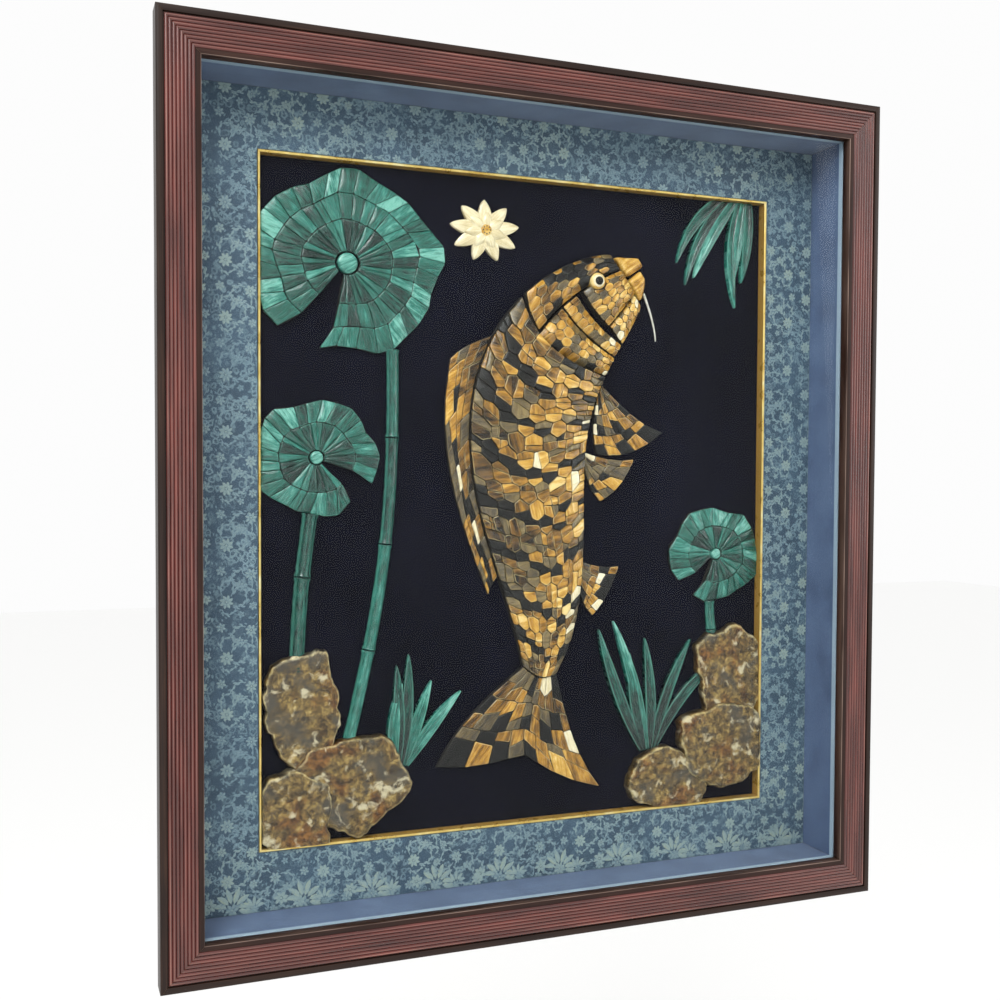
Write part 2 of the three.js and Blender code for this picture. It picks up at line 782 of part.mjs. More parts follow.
function petalRing(count, length, half, turn, edge, ridge, inner) {
  const petals = [];
  for (let i = 0; i < count; i += 1) {
    const angle = turn + 2 * Math.PI * i / count;
    const path = (k) => [
      BLOSSOM.at[0] + lerp(inner, length, k) * Math.cos(angle),
      BLOSSOM.at[1] + lerp(inner, length, k) * Math.sin(angle) * 0.82,
    ];
    const shape = (k) => 0.6 + half * Math.sin(Math.PI * Math.min(1, 0.28 + 0.72 * k)) ** 0.7;
    petals.push(ridgedBlade(path, shape, edge, ridge, 3));
  }
  return petals;
}

function addBlossom(group) {
  const podRadius = 7;
  const inner = podRadius + 2 * FIT;
  const hole = circle(BLOSSOM.at, podRadius, 9);
  const outer = petalRing(9, BLOSSOM.length, 8.2, 0.2, 3.2, 6.5, inner - 2);
  addPiece(group, 'blossom_petals', trim(join(outer), [hole]), paint('petal', 0.3));
  addPiece(group, 'blossom_pod', stone(hole, { edge: 7, crown: 10 }), paint('pod', 0.4));
}

// ---- rocks --------------------------------------------------------------------------------
// Sawn slabs in two banks, the front ones last. Each is a broken round outline, flat on top.
const ROCKS = [
  { name: 'rock_left_back', at: [-276, -228], size: [58, 80], edge: 8, crown: 11 },
  { name: 'rock_left_middle', at: [-224, -320], size: [72, 62], edge: 10, crown: 14 },
  { name: 'rock_left_front', at: [-294, -348], size: [56, 54], edge: 12, crown: 17 },
  { name: 'rock_right_back', at: [284, -222], size: [56, 74], edge: 8, crown: 11 },
  { name: 'rock_right_low', at: [190, -354], size: [68, 42], edge: 9, crown: 13 },
  { name: 'rock_right_middle', at: [272, -318], size: [70, 66], edge: 11, crown: 16 },
];
const ROCK_CORNERS = 8;

function rockOutline({ at, size }, seed) {
  return Array.from({ length: ROCK_CORNERS }, (_, i) => {
    const angle = 2 * Math.PI * (i + 0.8 * (chance(i, seed) - 0.5)) / ROCK_CORNERS;
    const reach = lerp(0.8, 1.14, chance(seed, i));
    return [at[0] + size[0] * reach * Math.cos(angle), at[1] + size[1] * reach * Math.sin(angle)];
  });
}

// ---- assembly -----------------------------------------------------------------------------
function paint(colour, roughness, metalness = 0) {
  return { color: COLOURS[colour], roughness, metalness };
}

function addPiece(group, name, geometry, look) {
  const material = look.isMaterial ? look : new THREE.MeshStandardMaterial(look);
  const mesh = new THREE.Mesh(geometry, material);
  mesh.name = name;
  group.add(mesh);
}

function addPicture(group) {
  addPiece(group, 'carp_body', carpBody(), paint('scale', 0.35));
  addHead(group);
  addFins(group);
  addBarbel(group);
  const leaves = LEAVES.map((leaf) => {
    addPiece(group, leaf.name, trim(lotusLeaf(leaf)), paint('leaf', 0.3));
    const heart = circle(leaf.at, leaf.radius * 0.105, 8);
    addPiece(group, `${leaf.name}_heart`, stone(heart, { edge: 6, crown: 9 }), paint('leaf', 0.3));
    return Array.from({ length: LEAF_SIDES }, (_, i) =>
      onLeaf(leaf, 2 * Math.PI * i / LEAF_SIDES, 1));
  });
  const outlines = ROCKS.map(rockOutline);
  ROCKS.forEach((rock, i) => {
    const slab = stone(outlines[i], { edge: rock.edge, crown: rock.crown, bevel: 0.9, flat: true });
    addPiece(group, rock.name, trim(slab, outlines.slice(i + 1)), paint('rock', 0.5));
  });
  const front = [...leaves, ...outlines];
  STALKS.forEach((stalk) => addStalk(group, stalk, front));
  TUFTS.forEach((tuft, i) => {
    addPiece(group, tuft.name, trim(reedTuft(tuft, i + 3), front), paint('blade', 0.3));
  });
  addBlossom(group);
}

function hang(group) {
  group.rotation.x = Math.PI / 2;
  const panel = new THREE.Group();
  panel.add(group);
  return panel;
}

const pieces = new THREE.Group();
addBox(pieces);
addPicture(pieces);
export default hang(pieces);
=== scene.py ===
"""The finish of a stone mosaic panel: cut stones on velvet in a deep glazed box frame.

Shapes are laid out in the panel's own millimetres: u to the right, v up and w out of the wall.
Each piece keeps the form of the solid that it stands for and adds its stones, reeds or weave.
"""
import math

import bpy
import mathutils
import numpy as np
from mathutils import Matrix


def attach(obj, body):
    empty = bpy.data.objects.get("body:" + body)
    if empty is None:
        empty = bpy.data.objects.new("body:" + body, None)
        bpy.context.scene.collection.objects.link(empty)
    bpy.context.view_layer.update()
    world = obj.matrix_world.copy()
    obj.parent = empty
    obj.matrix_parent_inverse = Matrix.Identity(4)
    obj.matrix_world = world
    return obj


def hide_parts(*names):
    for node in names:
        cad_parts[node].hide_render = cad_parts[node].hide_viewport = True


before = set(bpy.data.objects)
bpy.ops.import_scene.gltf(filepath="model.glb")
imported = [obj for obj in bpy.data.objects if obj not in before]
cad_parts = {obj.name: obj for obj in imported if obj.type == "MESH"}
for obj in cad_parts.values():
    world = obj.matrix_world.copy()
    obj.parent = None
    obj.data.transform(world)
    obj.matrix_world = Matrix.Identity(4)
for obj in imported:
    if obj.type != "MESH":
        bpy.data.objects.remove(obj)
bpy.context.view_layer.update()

# ---- sizes in millimetres -----------------------------------------------------------------
PANEL_W, PANEL_H, PANEL_D = 888.0, 1000.0, 100.0
RAIL_W, RAIL_D, RABBET, LIP = 45.0, 26.0, 14.0, 14.0
BORDER_W, GROOVE_W, BAND_W = 7.2, 1.2, 6.0
REEDS, REED_RISE = 8, 1.4
FIT = 0.3
SIGHT_W, SIGHT_H = PANEL_W - 2 * RAIL_W, PANEL_H - 2 * RAIL_W
WALL_T, WALL_LOW, WALL_HIGH = 12.0, 4.3, 83.4
PAINTED_LIGHT_STRIP = 6.0  # the depth of the strip at the wall's front, by the glass, that is painted paler as light
SIDES = ("bottom", "right", "top", "left")
BED = 12.0  # the stones' flat backs, on the velvet
MAT_FRONT = 23.7
FILLET_RISE = 1.0
WINDOW_W, WINDOW_H = 658.6, 776.2
REACH_U, REACH_V = WINDOW_W / 2 - 3.6, WINDOW_H / 2 - 3.6  # as far as the picture goes


# ---- small helpers ------------------------------------------------------------------------
def lerp(a, b, k):
    return a + (b - a) * k


def chance(a, b):
    """A repeatable number from 0 to 1 for a pair of numbers."""
    wave = math.sin(a * 12.9898 + b * 78.233) * 43758.5453
    return wave - math.floor(wave)


def drift(u, v, size, seed=0.0):
    """A slow, smooth change from 0 to 1 over the panel, with patches of about this size."""
    x, y = u / size + 7.3 * seed, v / size - 3.1 * seed
    wave = math.sin(x * 2.1 + 1.3 * math.sin(y * 1.7))
    wave += math.sin(y * 2.6 + 1.1 * math.sin(x * 1.9 + 2))
    return min(1.0, max(0.0, 0.5 + 0.27 * wave))


def linear(colour, alpha=1.0):
    """An sRGB hex colour as the linear numbers that a shader takes."""
    parts = [int(colour[i:i + 2], 16) / 255 for i in (1, 3, 5)]
    return [p / 12.92 if p <= 0.04045 else ((p + 0.055) / 1.055) ** 2.4 for p in parts] + [alpha]


def off(at, reach, angle):
    """The place this far from another in a direction."""
    return at[0] + reach * math.cos(angle), at[1] + reach * math.sin(angle)


def circle(at, radius, count):
    return [off(at, radius, 2 * math.pi * i / count) for i in range(count)]


def between(a, b, k):
    return lerp(a[0], b[0], k), lerp(a[1], b[1], k)


def right_of(a, b):
    """The direction square to the way from one place to another, to its right."""
    length = math.dist(a, b) or 1.0
    return (b[1] - a[1]) / length, (a[0] - b[0]) / length


def middle(outline):
    return [sum(p[i] for p in outline) / len(outline) for i in (0, 1)]


def area(outline):
    turns = zip(outline, outline[1:] + outline[:1])
    return sum(a[0] * b[1] - b[0] * a[1] for a, b in turns) / 2


def anticlockwise(outline):
    return outline if area(outline) > 0 else outline[::-1]


def inset(outline, distance):
    """The outline drawn in towards its middle by a distance."""
    mu, mv = middle(outline)
    moved = []
    for u, v in outline:
        reach = math.hypot(u - mu, v - mv) or 1.0
        k = max(0.1, 1 - distance / reach)
        moved.append((mu + (u - mu) * k, mv + (v - mv) * k))
    return moved


def softened(outline, times):
    """The outline with its corners cut off again and again, so that it turns round."""
    for _ in range(times):
        pairs = zip(outline, outline[1:] + outline[:1])
        outline = [between(a, b, k) for a, b in pairs for k in (0.25, 0.75)]
    return outline


def scaled(outline, k):
    mu, mv = middle(outline)
    return [(mu + (u - mu) * k, mv + (v - mv) * k) for u, v in outline]


def clip(outline, at, normal):
    """The part of an outline on the side of a straight cut that the normal points to."""
    def side(p):
        return (p[0] - at[0]) * normal[0] + (p[1] - at[1]) * normal[1]
    kept = []
    for a, b in zip(outline, outline[1:] + outline[:1]):
        if side(a) >= 0:
            kept.append(a)
        if side(a) * side(b) < 0:
            k = side(a) / (side(a) - side(b))
            kept.append((lerp(a[0], b[0], k), lerp(a[1], b[1], k)))
    return kept


def within_window(outline):
    for at, normal in (((-REACH_U, 0), (1, 0)), ((REACH_U, 0), (-1, 0)),
                       ((0, -REACH_V), (0, 1)), ((0, REACH_V), (0, -1))):
        outline = clip(outline, at, normal) if len(outline) > 2 else outline
    return outline


def held(u, v):
    """The nearest place inside the window, for what runs on under the gold fillet."""
    return min(max(u, -REACH_U), REACH_U), min(max(v, -REACH_V), REACH_V)


def facing(points, heights):
    """The flat face that lies closest to some points, as a function of place."""
    grid = np.array([[1.0, u, v] for u, v in points])
    base, du, dv = np.linalg.lstsq(grid, np.array(heights), rcond=None)[0]
    return lambda u, v: base + du * u + dv * v


# ---- a piece in the making ----------------------------------------------------------------
class Piece:
    """A mesh with, at each point, its place in the material's grain, its tone and its edge. The
    edge carries painted highlights (above 0) and painted shade (below 0); on the lined walls the
    tone also marks a strip painted paler as light.
    """

    def __init__(self):
        self.points, self.faces, self.finishes = [], [], []
        self.grain, self.tone, self.edge = [], [], []

    def point(self, u, v, w, grain, tone=0.5, edge=0.0):
        self.points.append((u / 1000, -w / 1000, v / 1000))
        self.grain.extend(g / 1000 for g in grain)
        self.tone.append(tone)
        self.edge.append(edge)
        return len(self.points) - 1

    def face(self, corners, finish=0):
        self.faces.append(corners)
        self.finishes.append(finish)

    def wall(self, lower, upper, finish=0, closed=True):
        """Faces between two rows of points that run the same way."""
        count = len(lower)
        for i in range(count if closed else count - 1):
            j = (i + 1) % count
            self.face((lower[i], lower[j], upper[j], upper[i]), finish)

    def lid(self, ring, top, finish=0):
        for i, a in enumerate(ring):
            self.face((a, ring[(i + 1) % len(ring)], top), finish)

    def stack(self, rings, top, finish=0):
        """Walls from each ring of points to the next, and a lid on the last."""
        for lower, upper in zip(rings, rings[1:]):
            self.wall(lower, upper, finish)
        self.lid(rings[-1], top, finish)

    def keep(self, wanted):
        """Drops the faces whose middle isn't wanted."""
        kept = []
        for corners, finish_of in zip(self.faces, self.finishes):
            u = 1000 * sum(self.points[k][0] for k in corners) / len(corners)
            v = 1000 * sum(self.points[k][2] for k in corners) / len(corners)
            if wanted(u, v):
                kept.append((corners, finish_of))
        self.faces, self.finishes = [list(column) for column in zip(*kept)]

    def make(self, name, nodes, materials, sharp=38):
        mesh = bpy.data.meshes.new(name)
        mesh.from_pydata(self.points, [], self.faces)
        for label, kind, key, values in (
                ("grain", "FLOAT_VECTOR", "vector", self.grain),
                ("tone", "FLOAT", "value", self.tone),
                ("edge", "FLOAT", "value", self.edge)):
            mesh.attributes.new(label, kind, "POINT").data.foreach_set(key, values)
        mesh.polygons.foreach_set("material_index", self.finishes)
        for material in materials:
            mesh.materials.append(material)
        mesh.shade_smooth()
        mesh.set_sharp_from_angle(angle=math.radians(sharp))
        mesh.update()
        piece = bpy.data.objects.new(name, mesh)
        bpy.context.scene.collection.objects.link(piece)
        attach(piece, "root")
        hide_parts(*nodes)
        return piece


# ---- cut stones ---------------------------------------------------------------------------
def worn(outline, seed):
    """The outline with its corners ground off and its sides a little uneven."""
    rim = []
    count = len(outline)
    for i, (u, v) in enumerate(outline):
        (pu, pv), (nu, nv) = outline[i - 1], outline[(i + 1) % count]
        back, ahead = math.hypot(pu - u, pv - v), math.hypot(nu - u, nv - v)
        if min(back, ahead) < 0.3:
            rim.append((u, v))
            continue
        cut = min(1.5, 0.28 * back, 0.28 * ahead)
        start = between((u, v), (pu, pv), cut / back)
        end = between((u, v), (nu, nv), cut / ahead)
        corner = [0.4 * a + 0.3 * (b + c) for a, b, c in zip((u, v), start, end)]
        rim += [start, corner, end]
        if ahead > 7:
            out = right_of((u, v), (nu, nv))
            for k in (0.36, 0.64):
                bow = 0.5 * (chance(seed + i, k) - 0.45)
                rim.append((lerp(u, nu, k) + out[0] * bow, lerp(v, nv, k) + out[1] * bow))
    return rim


def own_grain(seed, fibre, at):
    """The grain of one stone round its middle: it lies the fibre's way, and each stone is cut
    from another place."""
    place = [1000 * chance(seed, k) for k in (1.7, 2.9, 4.3)]
    cos, sin = math.cos(fibre), math.sin(fibre)

    def grain(u, v, depth):
        du, dv = u - at[0], v - at[1]
        return cos * du + sin * dv + place[0], cos * dv - sin * du + place[1], place[2] + depth

    return grain


def cut_stone(piece, outline, face, seed, tone=0.5, fibre=0.0, finish=0, deep=3.4, bevel=0.8,
              dome=0.5, gap=0.45):
    """One stone: upright sides, a bevel and a low dome, tipped a little as it was set. The bevel
    is paler, partly as ground stone and partly as a painted highlight, most on one side
    picked at random; the foot of its sides is darkened as painted shade."""
    outline = anticlockwise(outline)
    if area(outline) < 5:
        return
    rim = inset(worn(outline, seed), gap)
    mu, mv = middle(rim)
    reach = math.sqrt(area(rim))
    bevel = min(bevel, 0.16 * reach)
    dome = dome * min(1.0, reach / 14)
    lean = 0.045 * (chance(seed, 7.1) - 0.5), 0.045 * (chance(seed, 8.3) - 0.5)
    rise = 0.6 * (chance(seed, 9.7) - 0.5)
    grain = own_grain(seed, fibre, (mu, mv))
    palest = 2 * math.pi * chance(seed, 11.9)

    def level(ring, lift, edge):
        made = []
        for u, v in ring:
            du, dv = u - mu, v - mv
            pale = edge
            if edge > 0:
                pale *= 0.4 + 0.6 * math.cos(0.5 * (math.atan2(dv, du) - palest)) ** 2
            w = face(u, v) + rise + lean[0] * du + lean[1] * dv + lift
            made.append(piece.point(u, v, max(BED, w), grain(u, v, lift), tone, pale))
        return made

    # Painted shade on the foot ring (edge -1); on the bevel rings a painted highlight, partly the
    # ground bevel's own paleness.
    rings = [
        level(rim, -deep, -1.0),
        level(rim, -bevel * 0.75, 0.35),
        level(inset(rim, bevel), 0.0, 1.0),
        level(inset(rim, bevel + 0.55), 0.1 * dome + 0.03, 0.0),
        level(scaled(rim, 0.55), 0.75 * dome, 0.0),
    ]
    piece.stack(rings, level([(mu, mv)], dome, 0.0)[0], finish)


def cabochon(piece, outline, low, high, seed, tone=0.5, fibre=0.0, finish=0, steps=7, flat=0.55):
    """A stone polished to a full round over its outline, which is given anticlockwise."""
    outline = anticlockwise(outline)
    at = middle(outline)
    grain = own_grain(seed, fibre, at)

    def level(ring, w, edge):
        return [piece.point(u, v, w, grain(u, v, w), tone, edge) for u, v in ring]

    # Painted shade on the foot ring (edge -1) and a faint painted highlight on the lowest ring of
    # the round.
    rings = [level(outline, BED, -1.0)]
    for step in range(steps):
        k = step / steps * math.pi / 2
        w = BED + lerp(low, high, math.sin(k))
        rings.append(level(scaled(outline, math.cos(k) ** flat), w, 0.3 if step == 0 else 0.0))
    piece.stack(rings, level([at], BED + high, 0.0)[0], finish)


def courses(rows, cols, point=0.0, jitter=0.0, stagger=1):
    """Stones laid in courses like bricks, as in the solids: each stone's corners, as places
    along the courses (r) and across them (c)."""
    ends = (0, cols * 2)

    def is_corner(row, half):
        return half in ends or (half + row * stagger) % 2 == 0

    def on_line(line, half):
        return (line > 0 and is_corner(line - 1, half)) or (line < rows and is_corner(line, half))

    def spot(line, half):
        inside = 0 < line < rows
        r, c = float(line), half / 2
        if inside and half not in ends:
            r += point if is_corner(line, half) else -point
            c += (chance(line, half) - 0.5) * jitter
        return r + ((chance(half, line) - 0.5) * jitter if inside else 0), c

    for row in range(rows):
        corners = [half for half in range(cols * 2 + 1) if is_corner(row, half)]
        for left, right in zip(corners, corners[1:]):
            near = [spot(row, half) for half in range(left, right + 1) if on_line(row, half)]
            far = [spot(row + 1, half) for half in range(left, right + 1) if on_line(row + 1, half)]
            yield row, near + far[::-1]


def parted(corners, cuts, seed):
    """One place in the courses, filled with the stones that it takes when it is cut across
    ("r") or along ("c") once or twice."""
    stones = [corners]
    for number, way in enumerate(cuts):
        halves = []
        for stone in stones:
            r, c = middle(stone)
            k = 0.3 * (chance(seed, number + len(halves)) - 0.5)
            lean = 0.5 * (chance(seed + 3, number) - 0.5)
            normal = (1.0, lean) if way == "r" else (lean, 1.0)
            at = (r + k, c) if way == "r" else (r, c + k)
            halves += [clip(stone, at, normal), clip(stone, at, (-normal[0], -normal[1]))]
        stones = [half for half in halves if len(half) > 2]
    return stones


def lay(piece, stones, place, lift, pick, cut=None, step=0.0, trim=None, **how):
    """Lays stones in their courses. pick gives each one's shade, grain direction and finish."""
    for row, corners in stones:
        seed = row * 17.3 + corners[0][1] * 5.1 + 0.7
        for number, stone in enumerate(parted(corners, cut(seed, corners) if cut else "", seed)):
            outline = [place(r, c) for r, c in stone]
            face = facing(outline, [BED + lift(r, c) + step * (r - row) for r, c in stone])
            outline = within_window(outline)
            if trim:
                outline = trim(outline)
            if len(outline) < 3:
                continue
            r, c = middle(stone)
            tone, fibre, finish = pick(r, c, middle(outline), seed + number * 3.3)
            cut_stone(piece, outline, face, seed + number * 3.3, tone, fibre, finish, **how)


def bed(piece, rows, cols, place, lift, finish, sink=2.0, fine=2):
    """The dark cement under the stones, with an upright edge down to the velvet."""
    lines = []
    for i in range(rows * fine + 1):
        line = []
        for j in range(cols * fine + 1):
            r, c = i / fine, j / fine
            u, v = held(*place(r, c))
            line.append(piece.point(u, v, BED + max(1.0, lift(r, c) - sink), (u, v, 0), 0.5, -1.0))
        lines.append(line)
    a, b, c = (piece.points[k] for k in (lines[0][0], lines[0][-1], lines[-1][0]))
    turned = (b[0] - a[0]) * (c[2] - a[2]) - (b[2] - a[2]) * (c[0] - a[0]) < 0
    for low, high in zip(lines, lines[1:]):
        piece.wall(*((high, low) if turned else (low, high)), finish, closed=False)
    rim = lines[0] + [line[-1] for line in lines[1:]] + lines[-1][-2::-1] + [
        line[0] for line in lines[-2:0:-1]]
    foot = []
    for k in rim:
        x, _, z = piece.points[k]
        foot.append(piece.point(x * 1000, z * 1000, BED, (x * 1000, z * 1000, 0), 0.5, -1.0))
    piece.wall(*((rim, foot) if turned else (foot, rim)), finish)
    piece.face(tuple(foot if turned else foot[::-1]), finish)


def bent_rod(piece, path, half, top, stations, seed, tone=0.5, finish=0, section=None, fade=0.0):
    """A rod with a flat back along a path; half and top give its half width and its height.
    fade is how much paler it grows from its foot to its tip."""
    section = section or [off((0, 0), 1, math.pi * i / 10) for i in range(11)]
    place = [1000 * chance(seed, k) for k in (1.7, 2.9)]
    rings = []
    run = 0.0
    last = path(stations[0])
    for k in stations:
        u, v = path(k)
        across = right_of(path(k - 0.001), path(k + 0.001))
        run += math.hypot(u - last[0], v - last[1])
        last = (u, v)
        ring = []
        for side, rise in section:
            x, y = held(u + across[0] * side * half(k), v + across[1] * side * half(k))
            grain = (run + place[0], side * half(k) + place[1], seed * 31)
            # Both sides of the rod, near its edges, get the pale bevel colour: a painted highlight.
            rim = 1.0 if 0.8 < abs(side) < 0.97 else 0.0
            ring.append(piece.point(x, y, BED + rise * top(k), grain,
                                    tone + 0.12 * side + fade * (k - 0.5), rim))
        rings.append(ring)
    for near, far in zip(rings, rings[1:]):
        piece.wall(far, near, finish)
    piece.face(tuple(rings[0]), finish)
    piece.face(tuple(rings[-1][::-1]), finish)


# ---- finishes -----------------------------------------------------------------------------
MIDRANGE = {1: 0.3, 2: 0.7}  # most of a noise's values lie between these


class Finish:
    """A material in the making: its shader and the nodes that are added for it."""

    def __init__(self, name, **sockets):
        self.material = bpy.data.materials.new(name)
        self.material.use_nodes = True
        self.tree = self.material.node_tree
        self.shader = next(n for n in self.tree.nodes if n.type == "BSDF_PRINCIPLED")
        for key, value in sockets.items():
            self.shader.inputs[key.replace("_", " ")].default_value = value

    def add(self, kind, sockets=None, out=0, stops=(), **settings):
        """Adds a node and gives one of its outputs. Each socket takes a plain value or another
        node's output to link."""
        made = self.tree.nodes.new("ShaderNode" + kind)
        for name, value in settings.items():
            setattr(made, name, value)
        if stops:
            ramp = made.color_ramp
            while len(ramp.elements) < len(stops):
                ramp.elements.new(1.0)
            for element, (place, colour) in zip(ramp.elements, stops):
                element.position, element.color = place, linear(colour)
        for key, value in (sockets or {}).items():
            if isinstance(value, bpy.types.NodeSocket):
                self.tree.links.new(value, made.inputs[key])
            else:
                made.inputs[key].default_value = value
        return made.outputs[out]

    def over(self, colour, other, by, low, high, most, least=0.0, times=None, **settings):
        """Another colour laid over the first: the least of it where by is low, the most where
        by is high, and thinned out where times is low."""
        amount = self.add("MapRange", {0: by, 1: low, 2: high, 3: least, 4: most})
        if times is not None:
            amount = self.add("Math", {0: amount, 1: times}, operation="MULTIPLY")
        return self.add("Mix", {0: amount, 6: colour, 7: linear(other)}, out=2, data_type="RGBA",
                        **settings)

    def done(self, relief=None, strength=0.5, deep=0.3, **links):
        """Links what the pattern drives, with a relief this deep in mm; gives the material."""
        if relief is not None:
            links["Normal"] = self.add("Bump", {"Strength": strength, "Distance": deep / 1000,
                                                "Height": relief})
        for key, value in links.items():
            self.tree.links.new(value, self.shader.inputs[key.replace("_", " ")])
        return self.material


def grains(along, across):
    """How many grains of this length and width in mm fill a metre, for stretched patterns."""
    return 1000 / along, 1000 / across, 1000 / across


def polished_stone(name, stops, band, fibre, tone_reach, rim, roughness, **sockets):
    """Cut stone with silky bands across its fibres, a pale bevel that is partly ground stone and
    partly a painted highlight, and a dark foot that is painted shade.
    """
    stone = Finish(name, **sockets)
    grain = stone.add("Attribute", out="Vector", attribute_name="grain")
    tone = stone.add("Attribute", out="Fac", attribute_name="tone")
    edge = stone.add("Attribute", out="Fac", attribute_name="edge")
    wide = stone.add("VectorMath", {0: grain, 1: grains(band * 9, band)}, operation="MULTIPLY")
    fine = stone.add("VectorMath", {0: grain, 1: grains(fibre * 22, fibre)}, operation="MULTIPLY")
    bands = stone.add("TexNoise", {"Vector": wide, "Scale": 1.0, "Roughness": 0.55,
                                   "Distortion": 0.5})
    silk = stone.add("TexNoise", {"Vector": fine, "Scale": 1.0, "Detail": 3.0,
                                  "Roughness": 0.65})
    cloud = stone.add("TexNoise", {"Vector": grain, "Scale": 1000 / 14})
    figure = stone.add("Mix", {0: 0.3, 2: bands, 3: silk})
    figure = stone.add("Mix", {0: 0.3, 2: figure, 3: cloud})
    spread = stone.add("MapRange", {0: figure, **MIDRANGE, 3: 0.1, 4: 0.9})
    shift = stone.add("MapRange", {0: tone, 3: -tone_reach, 4: tone_reach})
    place = stone.add("Math", {0: spread, 1: shift}, operation="ADD", use_clamp=True)
    colour = stone.add("ValToRGB", {0: place}, stops=stops)
    # Painted highlight on the bevel where edge is high, and painted shade at the foot where edge is
    # -1.
    colour = stone.over(colour, rim, edge, 0.25, 1.0, 0.62)
    colour = stone.over(colour, "#15110D", edge, -0.1, -1.0, 0.85)
    rough = stone.add("MapRange", {0: silk, **MIDRANGE, 3: roughness - 0.07,
                                   4: roughness + 0.1})
    return stone.done(figure, 0.5, 0.25, Base_Color=colour, Roughness=rough)


def rock_slab():
    # Sawn and honed jasper breccia: olive and rust brown, finely mottled, with milky quartz spots.
    slab = Finish("jasper_slab_honed", IOR=1.54, Specular_IOR_Level=0.35, Coat_Weight=0.12,
                  Coat_Roughness=0.25)
    grain = slab.add("Attribute", out="Vector", attribute_name="grain")
    edge = slab.add("Attribute", out="Fac", attribute_name="edge")
    mottle = slab.add("TexNoise", {"Vector": grain, "Scale": 1000 / 8, "Detail": 7.0,
                                   "Roughness": 0.7, "Distortion": 0.3})
    zones = slab.add("TexNoise", {"Vector": grain, "Scale": 1000 / 45, "Detail": 3.0,
                                  "Roughness": 0.6, "Distortion": 0.5})
    both = slab.add("Mix", {0: 0.25, 2: mottle, 3: zones})
    colour = slab.add("ValToRGB", {0: both}, stops=[
        (0.34, "#181007"), (0.43, "#3B2C15"), (0.5, "#614C27"), (0.57, "#8B723F"),
        (0.66, "#B59C62")])
    rust, smoke, quartz, chipped_rim_highlight = "#8C6428", "#46413A", "#C9BC9C", "#D3C08C"
    colour = slab.over(colour, rust, zones, 0.5, 0.62, 0.85, blend_type="OVERLAY")
    colour = slab.over(colour, smoke, zones, 0.47, 0.36, 0.7)
    moved = slab.add("VectorMath", {0: grain, 1: (3.1, 1.7, 0.4)})
    milk = slab.add("TexNoise", {"Vector": moved, "Scale": 1000 / 17, "Detail": 5.0,
                                 "Roughness": 0.55, "Distortion": 0.4})
    colour = slab.over(colour, quartz, milk, 0.57, 0.67, 0.8)
    chipped = slab.add("MapRange", {0: mottle, 1: 0.42, 2: 0.6, 3: 0.2, 4: 1.0})
    # The rim is paled in patches, partly as chipped stone and partly as a painted highlight; the
    # slab's foot is darkened as painted shade.
    colour = slab.over(colour, chipped_rim_highlight, edge, 0.3, 1.0, 0.75, times=chipped)
    colour = slab.over(colour, "#1A1510", edge, -0.1, -1.0, 0.8)
    rough = slab.add("MapRange", {0: mottle, 1: 0.35, 2: 0.65, 3: 0.5, 4: 0.3})
    return slab.done(both, 0.8, 0.9, Base_Color=colour, Roughness=rough)


def cement():
    # Dark fixing cement between the stones: matt and grainy.
    paste = Finish("dark_cement", Roughness=0.9)
    place = paste.add("TexCoord", out="Object")
    grit = paste.add("TexNoise", {"Vector": place, "Scale": 1000 / 1.2, "Detail": 3.0})
    colour = paste.add("ValToRGB", {0: grit}, stops=[(0.3, "#080605"), (0.7, "#1A140F")])
    return paste.done(grit, 0.6, Base_Color=colour)


def stained_wood(name, stops, roughness, crest_highlight_colour=None, **sockets):
    """Lacquered wood with its pores along the rail; a real pore is 0.2 mm wide, drawn at 0.8.
    On the crests, where the edge says so, a paler colour is painted in patches as a highlight line."""
    wood = Finish(name, **sockets)
    grain = wood.add("Attribute", out="Vector", attribute_name="grain")
    fine = wood.add("VectorMath", {0: grain, 1: grains(46, 0.8)}, operation="MULTIPLY")
    broad = wood.add("VectorMath", {0: grain, 1: grains(140, 14)}, operation="MULTIPLY")
    pores = wood.add("TexNoise", {"Vector": fine, "Scale": 1.0, "Detail": 4.0,
                                  "Roughness": 0.6})
    cloud = wood.add("TexNoise", {"Vector": broad, "Scale": 1.0})
    both = wood.add("Mix", {0: 0.45, 2: pores, 3: cloud})
    colour = wood.add("ValToRGB", {0: both}, stops=stops)
    if crest_highlight_colour:
        # Painted highlight lines on the crests, in patches.
        edge = wood.add("Attribute", out="Fac", attribute_name="edge")
        patchy = wood.add("MapRange", {0: cloud, 1: 0.38, 2: 0.6, 3: 0.15, 4: 1.0})
        colour = wood.over(colour, crest_highlight_colour, edge, 0.0, 1.0, 1.0, times=patchy)
    rough = wood.add("MapRange", {0: cloud, **MIDRANGE, 3: roughness - 0.06,
                                  4: roughness + 0.08})
    return wood.done(pores, 0.4, 0.1, Base_Color=colour, Roughness=rough)


def hardboard():
    # Hardboard on the back: brown pressed fibre, matt, with flecks and a faint cloudy stain.
    board = Finish("hardboard_pressed", Roughness=0.8)
    place = board.add("TexCoord", out="Object")
    fibres = board.add("TexNoise", {"Vector": place, "Scale": 1000 / 2.5, "Detail": 4.0,
                                    "Roughness": 0.7})
    cloud = board.add("TexNoise", {"Vector": place, "Scale": 1000 / 120, "Detail": 3.0})
    drawn = board.add("VectorMath", {0: place, 1: grains(9, 1.8)}, operation="MULTIPLY")
    flecks = board.add("TexNoise", {"Vector": drawn, "Scale": 1.0, "Detail": 3.0,
                                    "Roughness": 0.7})
    both = board.add("Mix", {0: 0.5, 2: fibres, 3: flecks})
    both = board.add("Mix", {0: 0.14, 2: both, 3: cloud})
    colour = board.add("ValToRGB", {0: both}, stops=[
        (0.34, "#4E3822"), (0.46, "#684D31"), (0.56, "#7D6140"), (0.68, "#967956")])
    return board.done(fibres, 0.5, 0.2, Base_Color=colour)


